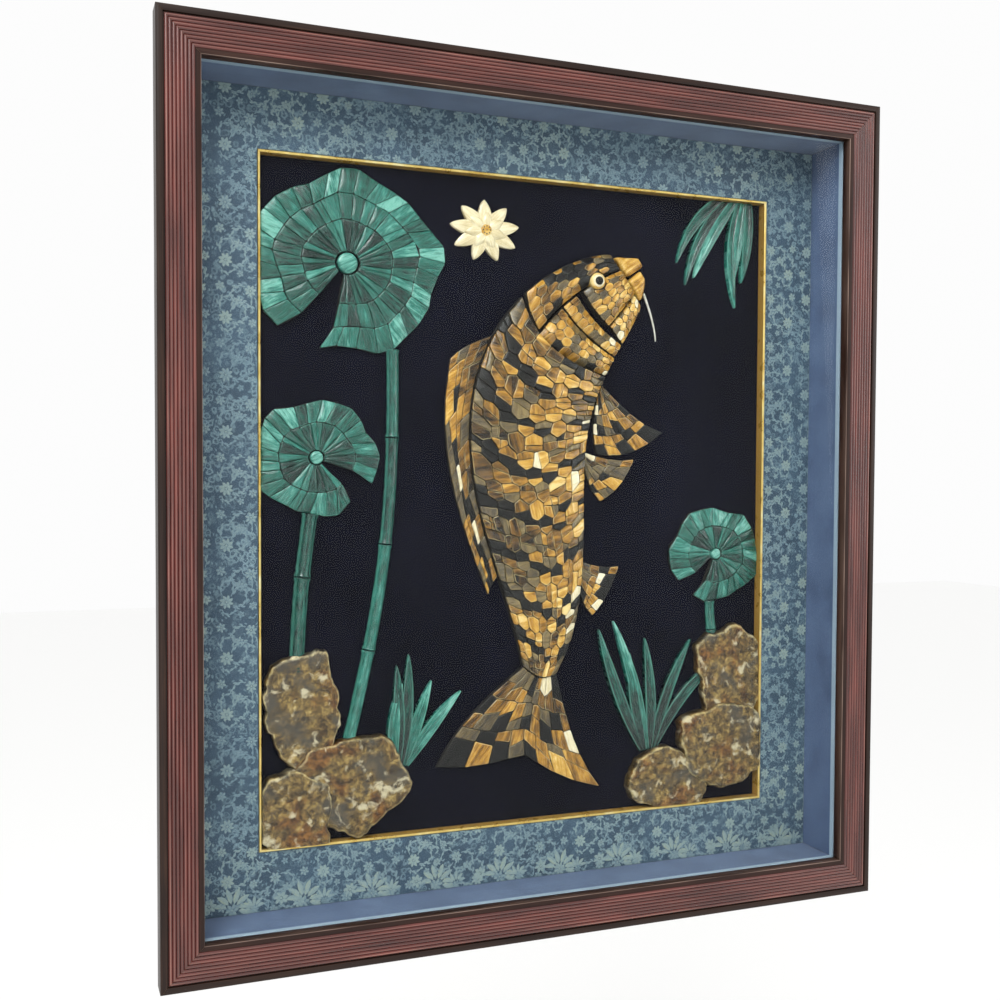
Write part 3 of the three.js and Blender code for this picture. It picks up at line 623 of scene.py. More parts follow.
def woven(name, stops, **sockets):
    """Cloth of crossed threads: the finish, its places, its colour and its weave. Real threads
    are 0.2 mm wide and are drawn several times that."""
    stripe, thread = 314, 1.2  # mm: a wave pattern's stripe at scale 1, and the drawn thread
    cloth = Finish(name, Sheen_Roughness=0.35, **sockets)
    place = cloth.add("TexCoord", out="Object")
    warp, weft = [cloth.add("TexWave", {"Vector": place, "Scale": stripe / thread,
                                        "Distortion": 0.6, "Detail": 1.0},
                            out="Fac", bands_direction=way) for way in "XZ"]
    weave = cloth.add("Mix", {0: 0.5, 2: warp, 3: weft})
    cloud = cloth.add("TexNoise", {"Vector": place, "Scale": 1000 / 45, "Detail": 3.0})
    slubs = cloth.add("TexNoise", {"Vector": place, "Scale": 1000 / 1.6})
    both = cloth.add("Mix", {0: 0.45, 2: cloud, 3: slubs})
    return cloth, place, cloth.add("ValToRGB", {0: both}, stops=stops), weave


def brocade_ground():
    # Rayon satin, the ground of the brocade: slate blue with a soft sheen.
    # Small blossoms 8 mm across are woven into it tone on tone, in drifts of paler thread.
    cloth, place, colour, weave = woven(
        "brocade_satin_ground", [(0.3, "#233849"), (0.5, "#31485B"), (0.7, "#42596C")],
        Sheen_Weight=0.3, Roughness=0.62)
    sway = cloth.add("TexNoise", {"Vector": place, "Scale": 1000 / 5}, out="Color")
    swayed = cloth.add("VectorMath", {0: sway, 1: (0.005, 0.0, 0.005), 2: place},
                       operation="MULTIPLY_ADD")
    blossom = cloth.add("TexVoronoi", {"Vector": swayed, "Scale": 1000 / 8}, out="Distance")
    petals = cloth.add("ValToRGB", {0: blossom}, stops=[
        (0.06, "#DDDDDD"), (0.14, "#000000"), (0.24, "#111111"), (0.36, "#FFFFFF"),
        (0.46, "#BBBBBB"), (0.54, "#000000")])
    drifts = cloth.add("TexNoise", {"Vector": place, "Scale": 1000 / 38, "Detail": 3.0})
    colour = cloth.over(colour, "#8199A2", drifts, 0.36, 0.66, 0.8, 0.12, petals)
    return cloth.done(weave, Base_Color=colour)


def brocade_weft():
    # The raised figure of the brocade, woven in pale grey-blue and grey-green thread.
    thread = Finish("brocade_raised_weft", Roughness=0.55, Sheen_Weight=0.35, Sheen_Roughness=0.35)
    grain = thread.add("Attribute", out="Vector", attribute_name="grain")
    tone = thread.add("Attribute", out="Fac", attribute_name="tone")
    drawn = thread.add("VectorMath", {0: grain, 1: grains(8, 0.9)}, operation="MULTIPLY")
    slub = thread.add("TexNoise", {"Vector": drawn, "Scale": 1.0})
    both = thread.add("Mix", {0: 0.35, 2: tone, 3: slub})
    colour = thread.add("ValToRGB", {0: both}, stops=[
        (0.15, "#465F6E"), (0.4, "#687E89"), (0.62, "#859693"), (0.85, "#99A083")])
    return thread.done(slub, 0.6, Base_Color=colour)


def lining_cloth():
    # Plain blue rayon on the box's inner walls: smooth, with a lilac-blue sheen. A pale strip along
    # the walls' front, by the glass, is painted light.
    cloth, _, colour, weave = woven(
        "lining_rayon_blue", [(0.3, "#3C4E6E"), (0.5, "#4F6284"), (0.7, "#637798")],
        Sheen_Weight=0.35, Roughness=0.6)
    tone = cloth.add("Attribute", out="Fac", attribute_name="tone")
    # The walls' front strip (tone 1) is painted paler, as light falling in through the glass.
    colour = cloth.over(colour, "#A9BCCB", tone, 0.5, 1.0, 0.8)
    return cloth.done(weave, Base_Color=colour)


def velvet():
    # Cotton velvet, near black with a blue cast: it drinks the light and sheens at a slant.
    pile = Finish("velvet_midnight", Roughness=0.95, Sheen_Weight=0.04, Sheen_Roughness=0.5,
                  Sheen_Tint=linear("#5A5F86"), Specular_IOR_Level=0.05)
    place = pile.add("TexCoord", out="Object")
    nap = pile.add("TexNoise", {"Vector": place, "Scale": 1000 / 2.5})
    stroke = pile.add("TexNoise", {"Vector": place, "Scale": 1000 / 130, "Detail": 3.0,
                                   "Distortion": 0.8})
    both = pile.add("Mix", {0: 0.5, 2: nap, 3: stroke})
    colour = pile.add("ValToRGB", {0: both}, stops=[
        (0.3, "#08080E"), (0.5, "#0D0D17"), (0.7, "#141420")])
    return pile.done(nap, 0.25, Base_Color=colour)


def gold_leaf():
    # Gold leaf burnished over a wooden slip: bright, with slightly duller laps in the leaf. The
    # slip's sides, below its front edge, are only painted dull gold.
    gold = Finish("gold_leaf_burnished")
    place = gold.add("TexCoord", out="Object")
    laps = gold.add("TexNoise", {"Vector": place, "Scale": 1000 / 18, "Detail": 3.0})
    leaf = gold.add("ValToRGB", {0: laps}, stops=[
        (0.3, "#D2AC5C"), (0.55, "#EBCB7C"), (0.75, "#F8E6AE")])
    depth = gold.add("SeparateXYZ", {0: place}, out=1)
    front = -(MAT_FRONT + FILLET_RISE) / 1000
    leaf_end, paint_start = front + 0.0004, front + 0.0012
    colour = gold.over(leaf, "#B68C40", depth, leaf_end, paint_start, 1.0)
    metal = gold.add("MapRange", {0: depth, 1: leaf_end, 2: paint_start, 3: 1.0, 4: 0.25})
    rough = gold.add("MapRange", {0: laps, **MIDRANGE, 3: 0.24, 4: 0.38})
    return gold.done(laps, 0.3, 0.2, Base_Color=colour, Roughness=rough, Metallic=metal)


def white_wire():
    # Fine white-lacquered wire, a little uneven in its coat.
    wire = Finish("white_lacquered_wire", IOR=1.5, Coat_Weight=0.4)
    grain = wire.add("Attribute", out="Vector", attribute_name="grain")
    coat = wire.add("TexNoise", {"Vector": grain, "Scale": 1000 / 3})
    colour = wire.add("ValToRGB", {0: coat}, stops=[(0.3, "#B9B3A4"), (0.6, "#E6E1D5")])
    rough = wire.add("MapRange", {0: coat, **MIDRANGE, 3: 0.45, 4: 0.3})
    return wire.done(Base_Color=colour, Roughness=rough)


# Float glass with a low-reflection surface, so that the picture shows through it.
GLASS = Finish("clear_picture_glass", Roughness=0.0, IOR=1.14, Transmission_Weight=1.0,
               Base_Color=linear("#F7FBFA")).material
# Red mahogany stain under satin lacquer: dark pores, a warm red ground, soft highlights from the
# lacquer, and pale painted highlight lines on the reed crests.
MAHOGANY = stained_wood(
    "mahogany_stained_lacquered", [(0.3, "#2B0F0B"), (0.5, "#4D1C15"), (0.7, "#733027")], 0.26,
    "#AA7968", IOR=1.5, Coat_Weight=0.4, Coat_Roughness=0.18)
# The same wood stained near black on the border and the outer edge.
BORDER = stained_wood(
    "border_stained_black_brown", [(0.3, "#140A06"), (0.5, "#24150E"), (0.75, "#3F291D")], 0.38,
    IOR=1.5, Specular_IOR_Level=0.22, Coat_Weight=0.06, Coat_Roughness=0.25)
# A plain band of dark umber stain along the sight edge, with a painted highlight line along its
# rim.
BAND = stained_wood(
    "band_stained_umber", [(0.3, "#180B07"), (0.5, "#29150E"), (0.75, "#43291E")], 0.36,
    "#9A8478", IOR=1.5, Specular_IOR_Level=0.22, Coat_Weight=0.06, Coat_Roughness=0.25)
# Bare paulownia, sawn, on the hidden sides: pale brown, matt, with open grain.
BARE_WOOD = stained_wood(
    "bare_paulownia", [(0.3, "#6E5638"), (0.5, "#8E7450"), (0.75, "#AB9068")], 0.7, IOR=1.45)
# Dyed green selenite, polished: teal fibres with a satin gleam along their length.
GREEN = polished_stone(
    "green_satin_stone",
    [(0.0, "#031A15"), (0.25, "#09372F"), (0.5, "#135347"), (0.75, "#297265"), (1.0, "#6CA99A")],
    band=3.0, fibre=0.45, tone_reach=0.5, rim="#508E7F", roughness=0.26,
    IOR=1.52, Coat_Weight=0.3, Coat_Roughness=0.2)
# Mother of pearl, ground flat: cream, with faint rose and green bands and a pearly gleam.
SHELL = polished_stone(
    "mother_of_pearl_ground",
    [(0.0, "#A8946A"), (0.35, "#CDBB91"), (0.65, "#E0D2AE"), (1.0, "#EEE6D0")],
    band=4.0, fibre=0.7, tone_reach=0.25, rim="#FBF8EF", roughness=0.24,
    IOR=1.56, Coat_Weight=0.5, Coat_Roughness=0.1)
CEMENT, ROCK, WIRE = cement(), rock_slab(), white_wire()
STONES = [
    # Tiger's eye, sawn across its fibres and polished: gold and brown bands with a silky gleam.
    polished_stone(
        "tigers_eye_polished",
        [(0.0, "#150C04"), (0.2, "#3E2A0F"), (0.42, "#7A541C"), (0.62, "#AC7B2B"),
         (0.82, "#CC9F48"), (1.0, "#E2C584")],
        band=5.5, fibre=0.5, tone_reach=0.45, rim="#E0CB95", roughness=0.22,
        IOR=1.54, Specular_IOR_Level=0.35, Coat_Weight=0.25, Coat_Roughness=0.1),
    # Hawk's eye, the grey-brown form of the same stone: duller, with olive and smoke bands.
    polished_stone(
        "hawks_eye_polished",
        [(0.0, "#171008"), (0.3, "#372C1D"), (0.6, "#5F4E2D"), (1.0, "#957D4C")],
        band=5.0, fibre=0.6, tone_reach=0.25, rim="#B09D70", roughness=0.3,
        IOR=1.54, Coat_Weight=0.3, Coat_Roughness=0.15),
    # Fine black slate, rubbed smooth: a soft warm sheen and no depth of colour.
    polished_stone(
        "black_slate_rubbed", [(0.0, "#090808"), (0.5, "#151312"), (1.0, "#2B2825")],
        band=6.0, fibre=0.8, tone_reach=0.15, rim="#4A4640", roughness=0.32,
        IOR=1.5, Specular_IOR_Level=0.3),
    SHELL, CEMENT]
GOLDEN, SMOKY, BLACK, CREAM, CEMENTED = range(len(STONES))


# ---- the reeded moulding and the box ------------------------------------------------------
def rail_section():
    """The moulding's outline: distance in from the outer edge, height, the finish of the face
    that follows, and how strong the painted highlight line is there. Finish 0 is reeded
    mahogany, 1 the black-brown border, 2 the band and 3 bare wood."""
    face, valley = PANEL_D, PANEL_D - REED_RISE
    first = RAIL_W - BAND_W
    pitch = (first - BORDER_W - GROOVE_W) / REEDS
    section = [(0, face - RAIL_D, 3), (RAIL_W - RABBET, face - RAIL_D, 3),
               (RAIL_W - RABBET, face - LIP, 2), (RAIL_W, face - LIP, 2),
               # The band's rim at the sight edge gets a painted highlight line.
               (RAIL_W, valley - 0.4, 2, 0.2), (RAIL_W - 0.3, valley + 0.1, 2, 1.0),
               (RAIL_W - 0.9, valley + 0.4, 2), (first + 0.5, valley + 0.4, 2),
               (first + 0.2, valley + 0.1, 2)]
    for reed in range(REEDS):
        for step in range(8):
            rise = REED_RISE * math.sin(math.pi * step / 8) ** 0.4
            # A painted highlight line on each reed's crest, strongest on the reed next to the
            # border.
            painted_highlight_here = (1.0 if reed == REEDS - 1 else 0.5) if step == 4 else 0.0
            section.append((first - (reed + step / 8) * pitch, valley + rise, 0, painted_highlight_here))
    section += [(BORDER_W + GROOVE_W, valley, 1), (BORDER_W + GROOVE_W - 0.1, valley - 1, 1),
                (BORDER_W + 0.1, valley - 1, 1), (BORDER_W, face - 0.9, 1),
                (BORDER_W - 0.25, face - 0.25, 1), (BORDER_W - 0.9, face, 1), (1.6, face, 1),
                (0.7, face - 0.2, 1), (0.15, face - 0.7, 1), (0, face - 1.4, 1)]
    return section


def mitred(name, solid, width, height, section, materials, sharp=38):
    """Four mitred lengths of one section round a rectangle."""
    for turn, side in enumerate(SIDES):
        along, across = (width, height) if turn % 2 == 0 else (height, width)
        piece = Piece()
        cos, sin = ((1, 0), (0, 1), (-1, 0), (0, -1))[turn]

        def end(sign):
            ring, run, last = [], 0.0, section[0]
            # The section's last column is the strength of a painted highlight line.
            for a, w, _, *painted_highlight in section:
                run += math.hypot(a - last[0], w - last[1])
                last = (a, w)
                u, v = sign * (along / 2 - a - FIT / 2), a - across / 2
                # On the lined walls the front strip is marked (tone 1) to be painted paler, as
                # light.
                tone = 1.0 if w > WALL_HIGH - PAINTED_LIGHT_STRIP else 0.4
                ring.append(piece.point(u * cos - v * sin, u * sin + v * cos, w,
                                        (u + 900 * turn, run, 70 * turn), tone, sum(painted_highlight)))
            return ring

        near, far = end(-1), end(1)
        for i, (_, _, finish_of, *_) in enumerate(section):
            j = (i + 1) % len(section)
            piece.face((near[i], near[j], far[j], far[i]), finish_of)
        piece.face(tuple(near[::-1]), section[0][2])
        piece.face(tuple(far), section[0][2])
        piece.make(f"{name}_{side}", [f"{solid}_{side}"], materials, sharp)


def build_box():
    mitred("reeded_rail", "frame", PANEL_W, PANEL_H, rail_section(),
           [MAHOGANY, BORDER, BAND, BARE_WOOD], 42)
    # The walls' front strip is painted paler as light; the extra points at its edge keep that edge
    # sharp.
    light_strip_edge = WALL_HIGH - PAINTED_LIGHT_STRIP
    lined = [(0, WALL_LOW, 0), (WALL_T, WALL_LOW, 1), (WALL_T, light_strip_edge - 0.2, 1),
             (WALL_T, light_strip_edge + 0.2, 1), (WALL_T, WALL_HIGH, 1), (0, WALL_HIGH, 0)]
    mitred("lined_wall", "box_wall", SIGHT_W + 2 * WALL_T, SIGHT_H + 2 * WALL_T, lined,
           [BARE_WOOD, lining_cloth()])
    whole = {"glass_pane": GLASS, "back_board": hardboard(), "velvet_board": velvet(),
             "brocade_mat": brocade_ground()}
    whole.update(dict.fromkeys([f"fillet_{side}" for side in SIDES], gold_leaf()))
    for node, material in whole.items():
        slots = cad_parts[node].data.materials
        slots.clear()
        slots.append(material)
    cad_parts["glass_pane"].visible_shadow = False


# ---- the brocade's woven figure -----------------------------------------------------------
CELL_W, CELL_H = 54.0, 62.0
FULL_TURN, FIFTH = 6.28, 1.257  # of a circle, in radians


def on_mat(u, v):
    """The nearest place on the mat: what would cross its edge or its window stops there."""
    edge_u, edge_v = SIGHT_W / 2 - 0.5, SIGHT_H / 2 - 0.5
    u, v = min(max(u, -edge_u), edge_u), min(max(v, -edge_v), edge_v)
    gap_u, gap_v = WINDOW_W / 2 + 0.1 - abs(u), WINDOW_H / 2 + 0.1 - abs(v)
    if gap_u > 0 and gap_v > 0:
        if gap_u < gap_v:
            u = math.copysign(WINDOW_W / 2 + 0.1, u)
        else:
            v = math.copysign(WINDOW_H / 2 + 0.1, v)
    return u, v


def woven_leaf(piece, at, angle, length, width, tone, bend=0.0):
    """One leaf or petal of raised weft: two halves that rise to a rib down the middle."""
    rib, left, right = [], [], []
    for k, half in ((0, 0), (0.22, 0.8), (0.5, 1), (0.78, 0.72), (1, 0)):
        turn = angle + bend * k
        u, v = off(at, length * k, turn)
        for side, row, lift in ((0, rib, 0.5), (1, left, 0.08), (-1, right, 0.08)):
            if side and not half:
                continue
            reach = side * half * width / 2
            x, y = u - math.sin(turn) * reach, v + math.cos(turn) * reach
            grain = (length * k, reach, 5 * tone)
            row.append(piece.point(*on_mat(x, y), MAT_FRONT + lift, grain, tone + 0.12 * side))
    piece.face((rib[0], rib[1], left[0]))
    piece.face((rib[0], right[0], rib[1]))
    for i in range(2):
        piece.face((rib[i + 1], rib[i + 2], left[i + 1], left[i]))
        piece.face((right[i], right[i + 1], rib[i + 2], rib[i + 1]))
    piece.face((rib[3], rib[4], left[2]))
    piece.face((right[2], rib[4], rib[3]))


def woven_stem(piece, path, width, tone, steps=9):
    rows = []
    for i in range(steps + 1):
        u, v = path(i / steps)
        across = [-part * width / 2 for part in right_of((u, v), path(i / steps + 0.01))]
        rows.append([piece.point(*on_mat(u + across[0] * s, v + across[1] * s),
                                 MAT_FRONT + (0.4 if s == 0 else 0.08), (i * 3, s, 9), tone)
                     for s in (1, 0, -1)])
    for a, b in zip(rows, rows[1:]):
        piece.face((a[0], a[1], b[1], b[0]))
        piece.face((a[1], a[2], b[2], b[1]))


def rosette(piece, at, petals, length, width, tone, turn=0.0):
    for i in range(petals):
        angle = turn + 2 * math.pi * i / petals
        woven_leaf(piece, off(at, 0.22 * length, angle), angle, length, width, tone, 0.25)
    for i in range(5):
        woven_leaf(piece, at, turn + FIFTH * i, 0.24 * length, 0.16 * length, tone + 0.1)


def spray(piece, at, angle, length, curl, leaves, size, tone):
    """A curling stem with leaves on both sides by turns and a small spiral at its end."""
    def path(k):
        return off(at, length * k, angle + curl * k * k)

    woven_stem(piece, path, 1.1, tone)
    for i in range(leaves):
        k = (i + 1) / (leaves + 0.5)
        (u, v), (u2, v2) = path(k), path(k + 0.02)
        ahead = math.atan2(v2 - v, u2 - u)
        side = 1 if i % 2 else -1
        woven_leaf(piece, (u, v), ahead + side * 0.9, size * lerp(1.1, 0.7, k), size * 0.42,
                   tone, -0.5 * side)
    tip = path(1)
    woven_leaf(piece, tip, angle + 2.4 * curl, size * 0.9, size * 0.4, tone, 0.8 * curl)


def acanthus(piece, at, lean, size, tone):
    """A large leaf of the row along the lower edge: rounded lobes that spread from one root."""
    for i in range(7):
        side = (i - 3) / 3
        angle = lean + 1.35 * side
        woven_leaf(piece, off(at, 0.3 * size, angle), angle, size * (0.78 - 0.2 * side * side),
                   size * 0.26, tone + 0.07 * (i % 2), 0.45 * side)
    rosette(piece, at, 6, 0.26 * size, 0.16 * size, tone - 0.2)


def woven_cell(piece, u, v, mirror, shade):
    """One repeat of the figure, turned over left to right in every other column."""
    def put(x, y):
        return u + mirror * (x - CELL_W / 2), v + y - CELL_H / 2

    def way(angle):
        return angle if mirror > 0 else math.pi - angle

    for x, y, petals, length, width, tone, turn in (
            (14, 17, 8, 6.6, 3.6, 0.16, 0.3), (41, 47, 7, 5.6, 3.2, 0.1, 0.9),
            (43, 12, 6, 4.2, 2.8, 0.04, 0.2), (8, 51, 6, 4.6, 3.0, 0.08, 0.6),
            (28, 36, 5, 3.8, 2.8, 0.06, 0.0), (30, 3, 5, 3.4, 2.6, 0.0, 0.5),
            (50, 30, 5, 3.2, 2.4, 0.02, 0.1)):
        rosette(piece, put(x, y), petals, length, width, shade + tone, turn)
    for x, y, angle, length, curl, leaves, size in (
            (19, 23, 1.25, 25, -1.1, 8, 6.4), (21, 13, -0.3, 22, 1.3, 7, 5.6),
            (9, 25, 2.0, 20, -1.2, 6, 5.6), (35, 51, 2.9, 21, 1.1, 6, 5.4),
            (45, 40, -0.9, 24, 0.9, 7, 5.6), (9, 9, -1.2, 15, 1.2, 5, 5.0),
            (46, 53, 0.8, 16, -1.4, 5, 5.0), (32, 30, -0.5, 15, 1.5, 5, 4.6)):
        spray(piece, put(x, y), way(angle), length, mirror * curl, leaves, size, shade)
    for i in range(34):
        x, y = CELL_W * chance(i, 3.1), CELL_H * chance(i, 8.7)
        woven_leaf(piece, put(x, y), FULL_TURN * chance(i, 5.3), 3.6, 2.0, shade - 0.14, 0.4)


def build_brocade():
    piece = Piece()
    columns, rows = int(SIGHT_W / CELL_W) + 2, int(SIGHT_H / CELL_H) + 3
    for column in range(columns):
        for row in range(rows):
            u = (column - (columns - 1) / 2) * CELL_W
            v = (row - (rows - 1) / 2 + 0.5 * (column % 2)) * CELL_H
            in_window = (abs(u) < WINDOW_W / 2 - CELL_W * 0.55
                         and abs(v) < WINDOW_H / 2 - CELL_H * 0.55)
            beyond = abs(u) > SIGHT_W / 2 + CELL_W / 2 or abs(v) > SIGHT_H / 2 + CELL_H / 2
            if not in_window and not beyond:
                shade = 0.3 + 0.25 * drift(u, v, 90)
                woven_cell(piece, u, v, 1 if column % 2 else -1, shade)
    count = 10
    for i in range(count):
        u = (i - (count - 1) / 2) * SIGHT_W / count
        v = -SIGHT_H / 2
        acanthus(piece, (u, v + 6), 1.25, 24, 0.66)
        acanthus(piece, (u + 25, v + 4), 2.1, 15, 0.58)
        rosette(piece, (u - 25, v + 13), 7, 7.0, 4.2, 0.6, 0.1 * i)
    piece.keep(lambda u, v: abs(u) > WINDOW_W / 2 or abs(v) > WINDOW_H / 2)
    piece.make("brocade_figure", [], [brocade_weft()], 60)


# ---- the carp -----------------------------------------------------------------------------
SNOUT, ROOT = (146.0, 288.0), (-52.0, -186.0)
WAVE, TURNS, HALF, BLUNT, ROOT_HALF = 70.0, 0.72, 73.0, 0.007, 18.0
FULLEST = 0.402  # about the most that the outline's formula gives before it is scaled
BODY_ROWS, BODY_COLS = 21, 7


def spine(s):
    du, dv = ROOT[0] - SNOUT[0], ROOT[1] - SNOUT[1]
    length = math.hypot(du, dv)
    swing = WAVE * math.sin(2 * math.pi * TURNS * s)
    return SNOUT[0] + du * s + swing * dv / length, SNOUT[1] + dv * s - swing * du / length


def spine_frame(s):
    (u0, v0), (u1, v1) = spine(s - 0.001), spine(s + 0.001)
    length = math.hypot(u1 - u0, v1 - v0)
    along = (u1 - u0) / length, (v1 - v0) / length
    return spine(s), along, (along[1], -along[0])


def carp_half(s):
    k = min(max(s, 0.0), 1.0)
    return HALF * math.sqrt(k + BLUNT) * (1 - k) ** 0.9 / FULLEST + ROOT_HALF * k ** 1.5


def on_carp(s, t, extra=0.0):
    """A place on the fish: s along its spine, t from the belly (-1) to the back (1)."""
    at, _, out = spine_frame(s)
    reach = t * carp_half(s) + extra * (1 if t > 0 else -1 if t < 0 else 0)
    return at[0] + out[0] * reach, at[1] + out[1] * reach


def carp_lift(s, t):
    swell = math.sqrt(max(0.0, 1 - 0.9 * t * t))
    return 6 + 17 * swell * (carp_half(s) / HALF) ** 0.8


def gill_line(t):
    return 0.235 + 0.045 * (1 - t * t)


def root_line(t):
    return 0.98 + 0.016 * (1 - t * t)


def carp_way(s):
    _, along, _ = spine_frame(s)
    return math.atan2(along[1], along[0])


def is_stripe(r, t, more=0.0):
    """Black slate stripes run from the back down the flank and thin out, with short ones that
    come up from the belly between them."""
    from_back = (r - 1.1 - 1.5 * (1 - t) + more) % 2.8
    from_belly = (r + 0.2 + 1.1 * (1 + t) + more) % 2.8
    wide = 0.25 + 0.6 * (t + 0.55) / 1.55
    return (t > -0.55 and from_back < wide + 2 * more) or (t < -0.5 and from_belly < 0.5 + 2 * more)


def build_carp_body():
    def s_of(r, t):
        return lerp(gill_line(t), root_line(t), r / BODY_ROWS)

    def place(r, c):
        t = 2 * c / BODY_COLS - 1
        return on_carp(s_of(r, t), t)

    def lift(r, c):
        t = 2 * c / BODY_COLS - 1
        return carp_lift(s_of(r, t), t)

    def cut(seed, corners):
        r, c = middle(corners)
        kind = chance(seed, 2.2)
        if r > 17:
            return "" if kind < 0.5 else "r"
        if is_stripe(r, 2 * c / BODY_COLS - 1, 0.45):
            return "r"
        return "" if kind < 0.1 else "r" if kind < 0.6 else "c" if kind < 0.78 else "rc"

    def pick(r, c, at, seed):
        t = 2 * c / BODY_COLS - 1
        fibre = carp_way(s_of(r, t)) + 0.3 * chance(seed, 1)
        if chance(seed, 6.1) < 0.72:
            fibre += math.pi / 2
        if is_stripe(r, t):
            return 0.3 + 0.5 * chance(seed, 5), fibre, BLACK
        shade = drift(*at, 62)
        kind = chance(seed, 3.9)
        if kind < 0.012 + 0.16 * (t < -0.72):
            return 0.5, fibre, CREAM
        if kind < 0.16 + 0.3 * (shade < 0.35) + 0.2 * (abs(t) > 0.78):
            return 0.35 + 0.5 * chance(seed, 4), fibre, SMOKY
        return 0.3 + 0.35 * shade + 0.6 * (chance(seed, 5) - 0.5) - 0.14 * t, fibre, GOLDEN

    piece = Piece()
    stones = courses(BODY_ROWS, BODY_COLS, point=0.13, jitter=0.2)
    lay(piece, stones, place, lift, pick, cut, step=1.6)
    bed(piece, BODY_ROWS, BODY_COLS, place, lift, CEMENTED)
    piece.make("carp_scales", ["carp_body"], STONES)


EYE_S, EYE_T, EYE_RADIUS = 0.098, 0.4, 10.5
LIP_REAR, SEAM = 0.034, 0.004


def gill_bow(s, bow):
    return lambda t: s + bow * (1 - t * t)


# Front line, rear line, lowest and highest t, edge and crown height, courses, stones across.
HEAD_PLATES = {
    "crown_plate": (gill_bow(LIP_REAR + SEAM, 0), lambda t: gill_line(t) - 0.012, 0.42, 1.0, 9, 17,
                    9, 4),
    "cheek_plate": (gill_bow(LIP_REAR + SEAM, 0), gill_bow(0.118, 0.02), -0.5, 0.38, 11, 20, 5, 6),
    "jaw_plate": (gill_bow(LIP_REAR + SEAM, 0), gill_bow(0.128, 0), -1.0, -0.54, 7, 13, 6, 3),
    "gill_front": (gill_bow(0.134, 0.02), gill_bow(0.168, 0.024), -0.97, 0.38, 10, 18, 2, 9),
    "gill_cover": (gill_bow(0.173, 0.024), lambda t: gill_line(t) - SEAM, -0.98, 0.38, 11, 23,
                   4, 8),
}
# Front line, lowest and highest t, edge and crown height.
LIPS = {"upper_lip": (-0.012, 0.06, 0.92, 7, 13), "lower_lip": (-0.002, -0.92, -0.06, 6, 11)}


def plate_rise(k, m):
    """How high the plate stands between its edge (0) and its crown (1)."""
    reach = max(abs(2 * k - 1), abs(2 * m - 1))
    return float(np.interp(reach, [0, 0.45, 0.86, 1], [1, 0.92, 0.6, 0.12]))


def round_eye(outline):
    """Stones that would run into the eye are cut back to its socket."""
    eye = on_carp(EYE_S, EYE_T)
    at = middle(outline)
    away = at[0] - eye[0], at[1] - eye[1]
    reach = math.hypot(*away)
    if reach < EYE_RADIUS * 0.7:
        return []
    edge = [eye[i] + away[i] / reach * (EYE_RADIUS + 0.3) for i in (0, 1)]
    return clip(outline, edge, away)


def build_head():
    for number, (name, plate) in enumerate(HEAD_PLATES.items()):
        front, rear, low, high, edge, crown, rows, cols = plate

        def place(r, c):
            t = lerp(low, high, c / cols)
            return on_carp(lerp(front(t), rear(t), r / rows), t)

        def lift(r, c):
            return lerp(edge, crown, plate_rise(r / rows, c / cols))

        def pick(r, c, at, seed):
            fibre = carp_way(0.1) + 1.2 * (chance(seed, 6.1) - 0.5)
            kind = chance(seed + number, 3.3)
            t = lerp(low, high, c / cols)
            dark = 0.3 * (name == "crown_plate") + 0.4 * (name == "gill_cover" and r > rows - 1)
            if kind < dark:
                return 0.4, fibre, BLACK
            if kind > 0.95 or (t < -0.7 and kind > 0.7):
                return 0.6, fibre, CREAM
            if kind > 0.72:
                return 0.5, fibre, SMOKY
            return 0.35 + 0.5 * chance(seed, 5) - 0.15 * t, fibre, GOLDEN

        piece = Piece()
        stones = courses(rows, cols, point=0.12, jitter=0.2)
        lay(piece, stones, place, lift, pick, step=0.7, deep=2.4, bevel=0.5, dome=0.7, gap=0.25,
            trim=round_eye)
        bed(piece, rows, cols, place, lift, CEMENTED, 1.7, 1)
        piece.make(f"head_{name}_stones", [f"carp_{name}"], STONES)

    for number, (name, (front, low, high, edge, crown)) in enumerate(LIPS.items()):
        corners = [(front, low), (front, high), (LIP_REAR, high), (LIP_REAR, low)]
        outline = []
        for (s, t), (s2, t2), count in zip(corners, corners[1:] + corners[:1], (3, 2, 3, 2)):
            outline += [on_carp(lerp(s, s2, i / count), lerp(t, t2, i / count))
                        for i in range(count)]
        piece = Piece()
        cabochon(piece, softened(outline, 3), edge, crown, 5.5 + number, 0.75, carp_way(0), GOLDEN)
        piece.make(f"head_{name}_stone", [f"carp_{name}"], STONES)

    eye = on_carp(EYE_S, EYE_T)
    piece = Piece()
    cabochon(piece, circle(eye, EYE_RADIUS - 0.2, 40), 14, 18.2, 8.8, 0.95, 0.4, GOLDEN)
    cabochon(piece, circle(eye, 7.6, 40), 17.0, 19.0, 3.1, 0.8, 0.2, CREAM)
    cabochon(piece, circle(eye, 5.2, 40), 18.6, 21.0, 2.2, 0.1, 0.2, BLACK)
    piece.make("carp_eye_stones", ["carp_eye"], STONES)


def swept(s, t, k):
    """The direction between straight out from the fish's side (0) and straight back (1)."""
    _, along, out = spine_frame(s)
    outwards = math.atan2(out[1] * t, out[0] * t)
    turn = math.atan2(along[1], along[0]) - outwards
    return outwards + k * math.atan2(math.sin(turn), math.cos(turn))


TAIL_WAY = carp_way(1.0)

